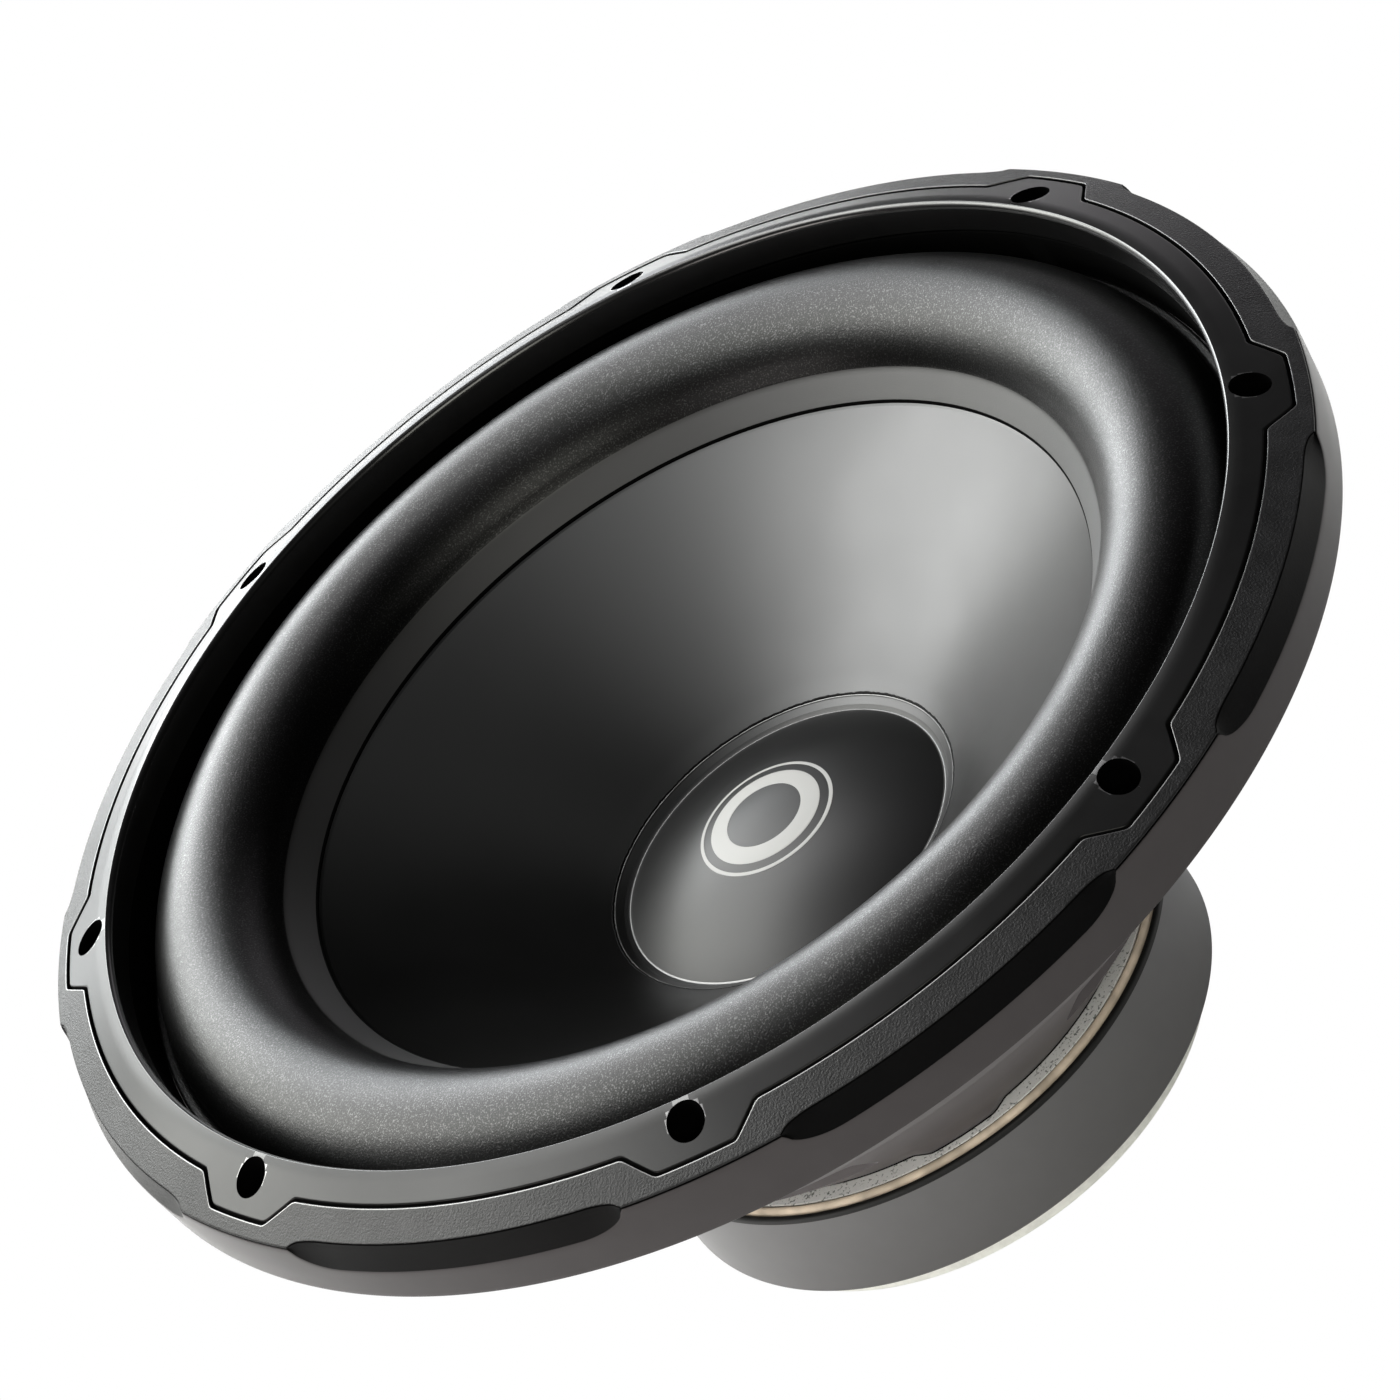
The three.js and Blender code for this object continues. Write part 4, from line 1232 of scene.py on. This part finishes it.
def add_lead(x, tag, side, eyelet_angle):
    """Four strands twisted round a curve from the contact's tab to the eyelet on the cone."""
    path = catmull([
        from_terminal(x, 0, -8.6),
        from_terminal(x * 1.15, -6, -17),
        np.array([*polar(58, TERMINAL_ANGLE + side * 10), -50.5]),
        np.array([*polar(41, eyelet_angle), -52.4]),
        np.array([*polar(EYELET_R, eyelet_angle), -51.2]),
    ])
    tangents = unit_rows(np.gradient(path, axis=0))
    u = unit_rows(np.cross(tangents, [0, 0, 1.0]))
    w = np.cross(tangents, u)
    lengths = np.linalg.norm(np.diff(path, axis=0), axis=1)
    along = np.concatenate([[0], np.cumsum(lengths)])
    strands = []
    for k in range(4):
        a = along / 5.2 * 2 * math.pi + k * math.pi / 2
        strand = path + 0.42 * (np.cos(a)[:, None] * u + np.sin(a)[:, None] * w)
        strands.append(tube("s", strand, 0.42, 7))
    lead = joined("lead_%s_fine" % tag, strands)
    put_wire(lead, "braid")
    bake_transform(lead)


def add_eyelet(tag, angle):
    eyelet = turned("lead_eyelet_%s_fine" % tag, [
        (0, -50.0, 0), (2.7, -50.0, 0.3), (2.7, -49.3, 0.3), (1.7, -48.4, 0.2),
        (1.7, -42.6, 0.4), (0, -42.6, 0),
    ], 32, closed=False)
    move(eyelet, *polar(EYELET_R, angle))
    put(eyelet, "cone_assembly", "brass", "tin")


EYELET_R = 36
for side, tag, key in ((-1, "negative", "black"), (1, "positive", "red")):
    socket_x = side * SOCKET_X
    eyelet_angle = TERMINAL_ANGLE + side * 9 * 1.6
    add_contact(socket_x, tag)
    add_button(socket_x, tag, key)
    add_spring(socket_x, tag)
    add_lead(socket_x, tag, side, eyelet_angle)
    add_eyelet(tag, eyelet_angle)

# cross-head screws through the block's ears
for i, x in enumerate((-SCREW_X, SCREW_X)):
    screw = turned("terminal_screw_%d_fine" % (i + 1), [
        (0, -5, 0), (0.5, -5, 0.1), (1.4, -3.6, 0.3), (1.4, 3.5, 0), (3.2, 3.5, 0.15),
        (3.2, 4.3, 0.4), (2.2, 5.2, 0.6), (0, 5.2, 0),
    ], 40, closed=False)
    move(screw, x, 0)
    boolean(screw, [
        box("d1", cross_x(x, 1.9), (-0.38, 0.38), (4.3, 6)),
        box("d2", cross_x(x, 0.38), (-1.9, 1.9), (4.3, 6)),
    ])
    sharpen_edges(screw, angle=38)
    put_on_terminal(screw, "frame", "screw_steel", "steel")

# ------------------------------------------------------------------ floor
# From here on, lengths are in metres. The floor only bounces light: the camera doesn't see it.
HALF = 9.0
floor_mesh = bpy.data.meshes.new("floor")
floor_corners = [(-HALF, -HALF, 0), (HALF, -HALF, 0), (HALF, HALF, 0), (-HALF, HALF, 0)]
floor_mesh.from_pydata(floor_corners, [], [[0, 1, 2, 3]])
floor = bpy.data.objects.new("floor", floor_mesh)
bpy.context.scene.collection.objects.link(floor)
floor.location = (0, 0, low.z - 0.0003)
floor_white, _, inputs = new_material("floor_white", (0.86, 0.86, 0.86), rough=0.9, spec=0.0)
inputs["Emission Color"].default_value = (1, 1, 1, 1)
inputs["Emission Strength"].default_value = 0.1293
floor_mesh.materials.append(floor_white)
floor.visible_camera = False

# ------------------------------------------------------------------ world
# White to the camera, almost dark as a light.
AMBIENT, BACKDROP = 0.0040, 1.0
world = bpy.data.worlds.new("studio")
bpy.context.scene.world = world
world.use_nodes = True
tree = world.node_tree
for old in list(tree.nodes):
    tree.nodes.remove(old)
output = tree.nodes.new("ShaderNodeOutputWorld")
mix = tree.nodes.new("ShaderNodeMixShader")
light_path = tree.nodes.new("ShaderNodeLightPath")
tree.links.new(light_path.outputs["Is Camera Ray"], mix.inputs[0])
for slot, strength in ((1, AMBIENT), (2, BACKDROP)):
    background = add_node(tree, "ShaderNodeBackground", {
        "Color": (1, 1, 1, 1), "Strength": strength})
    tree.links.new(background, mix.inputs[slot])
tree.links.new(mix.outputs[0], output.inputs["Surface"])

# ------------------------------------------------------------------ lights
# The cone is lit by its own softboxes, the rest of the driver by the wall.
lit_cone = bpy.data.collections.new("lit_cone")
lit_cone.objects.link(cone)
lit_rest = bpy.data.collections.new("lit_rest")
lit_rest.objects.link(cone)
lit_rest.collection_objects[0].light_linking.link_state = "EXCLUDE"

LIGHT_TARGET = (0, 0, 0.10)
LIGHT_DISTANCE = 1.7
WIDE, TILE = (0.9, 0.66), (0.66, 0.58)  # width and height of the softboxes
CONE_COLOR = (1.0, 1.01, 0.995)


def softbox(name, azimuth, elevation, size, power, color, lit):
    """An area light at an azimuth and elevation (degrees), facing the object."""
    a, e = math.radians(azimuth), math.radians(elevation)
    direction = Vector((math.cos(e) * math.cos(a), math.cos(e) * math.sin(a), math.sin(e)))
    data = bpy.data.lights.new(name, "AREA")
    data.shape = "RECTANGLE"
    data.size, data.size_y = size
    data.energy = power
    data.color = color
    light = bpy.data.objects.new(name, data)
    bpy.context.scene.collection.objects.link(light)
    light.location = Vector(LIGHT_TARGET) + direction * LIGHT_DISTANCE
    light.rotation_mode = "QUATERNION"
    light.rotation_quaternion = direction.to_track_quat("Z", "Y")
    light.visible_camera = False
    light.light_linking.receiver_collection = lit


# azimuth, elevation, size, watts, colour
WALL_LIGHTS = [
    (30, 6, WIDE, 1.91, (1.014, 0.968, 1.016)), (180, 6, WIDE, 12.27, (1.053, 0.994, 0.952)),
    (240, 30, WIDE, 11.81, (1.039, 1.028, 0.932)), (280, 30, WIDE, 0.27, (0.996, 1.031, 0.975)),
    (0, 56, WIDE, 0.34, (1.013, 0.952, 1.032)), (180, 80, WIDE, 2.88, (1.006, 0.990, 1.001)),
    (68, 4, TILE, 5.33, (0.972, 0.998, 1.025)), (84, 4, TILE, 3.33, (0.972, 1.000, 1.011)),
    (68, 18, TILE, 10.08, (0.977, 1.009, 1.035)), (84, 18, TILE, 10.30, (0.986, 1.016, 1.014)),
    (100, 18, TILE, 1.68, (0.989, 1.013, 0.960)), (116, 18, TILE, 2.48, (1.011, 1.006, 0.967)),
    (68, 32, TILE, 5.27, (0.979, 1.002, 1.007)), (84, 32, TILE, 9.57, (0.997, 1.014, 1.003)),
    (100, 32, TILE, 5.79, (0.996, 1.018, 0.969)), (116, 32, TILE, 11.26, (1.025, 1.032, 0.981)),
    (132, 32, TILE, 1.60, (1.014, 0.991, 0.958)), (68, 46, TILE, 1.43, (0.993, 1.000, 0.991)),
    (84, 46, TILE, 3.06, (0.995, 1.003, 0.986)), (100, 46, TILE, 0.79, (0.991, 1.002, 0.968)),
    (116, 46, TILE, 4.29, (0.998, 1.010, 0.963)), (132, 46, TILE, 8.27, (1.022, 1.022, 0.982)),
    (150, 46, TILE, 0.51, (1.015, 0.988, 0.966)), (52, 60, TILE, 4.95, (1.006, 0.997, 1.007)),
    (68, 60, TILE, 2.93, (1.001, 0.997, 0.993)), (84, 60, TILE, 5.59, (1.007, 1.006, 0.994)),
    (100, 60, TILE, 5.54, (1.008, 1.010, 0.989)), (116, 60, TILE, 4.28, (1.003, 1.008, 0.977)),
    (132, 60, TILE, 6.16, (1.006, 1.011, 0.977)), (150, 60, TILE, 5.15, (1.013, 1.007, 0.981)),
]
# azimuth, elevation, size, watts
CONE_LIGHTS = [
    (270, 6, WIDE, 1.37), (300, 6, WIDE, 1.16), (330, 6, WIDE, 1.03), (320, 30, WIDE, 2.57),
    (0, 56, WIDE, 0.86), (180, 56, WIDE, 6.03), (0, 80, WIDE, 1.09), (180, 80, WIDE, 4.34),
    (116, 4, TILE, 1.99), (132, 4, TILE, 1.64), (150, 4, TILE, 1.23), (100, 18, TILE, 10.86),
    (116, 18, TILE, 11.34), (132, 18, TILE, 4.22), (150, 18, TILE, 2.41), (84, 32, TILE, 0.74),
    (100, 32, TILE, 5.89), (116, 32, TILE, 7.40), (132, 32, TILE, 0.98), (84, 46, TILE, 1.53),
    (100, 46, TILE, 4.22), (116, 46, TILE, 10.73), (132, 46, TILE, 11.27), (150, 46, TILE, 4.85),
    (132, 60, TILE, 1.87), (150, 60, TILE, 6.59),
]
for k, row in enumerate(WALL_LIGHTS):
    softbox("softbox_%02d" % k, *row, lit=lit_rest)
for k, row in enumerate(CONE_LIGHTS):
    softbox("cone_softbox_%02d" % k, *row, color=CONE_COLOR, lit=lit_cone)

# ------------------------------------------------------------------ camera
scene = bpy.context.scene
cam_data = bpy.data.cameras.new("camera")
cam_data.sensor_width = 36.0
cam_data.sensor_fit = "HORIZONTAL"
cam_data.lens = 173.933
cam_data.clip_start = 0.05
cam_data.clip_end = 50.0
cam = bpy.data.objects.new("camera", cam_data)
scene.collection.objects.link(cam)
# the camera's axes: right, up and back (away from the view)
right = (0.5791850188989711, -0.648285708990447, -0.49423714287956094)
up = (0.7348791418172771, 0.15280077495610847, 0.6607605996839662)
back = (-0.3528418353949833, -0.7459072078292083, 0.564911565206036)
place = (-0.5341987, -1.1387643, 0.8675704 + LIFT * MM)
cam.matrix_world = Matrix((*zip(right, up, back, place), (0, 0, 0, 1)))
scene.camera = cam
scene.view_settings.view_transform = "Standard"
scene.view_settings.look = "None"
scene.view_settings.exposure = 0.0
scene.view_settings.gamma = 1.0

bpy.context.view_layer.update()
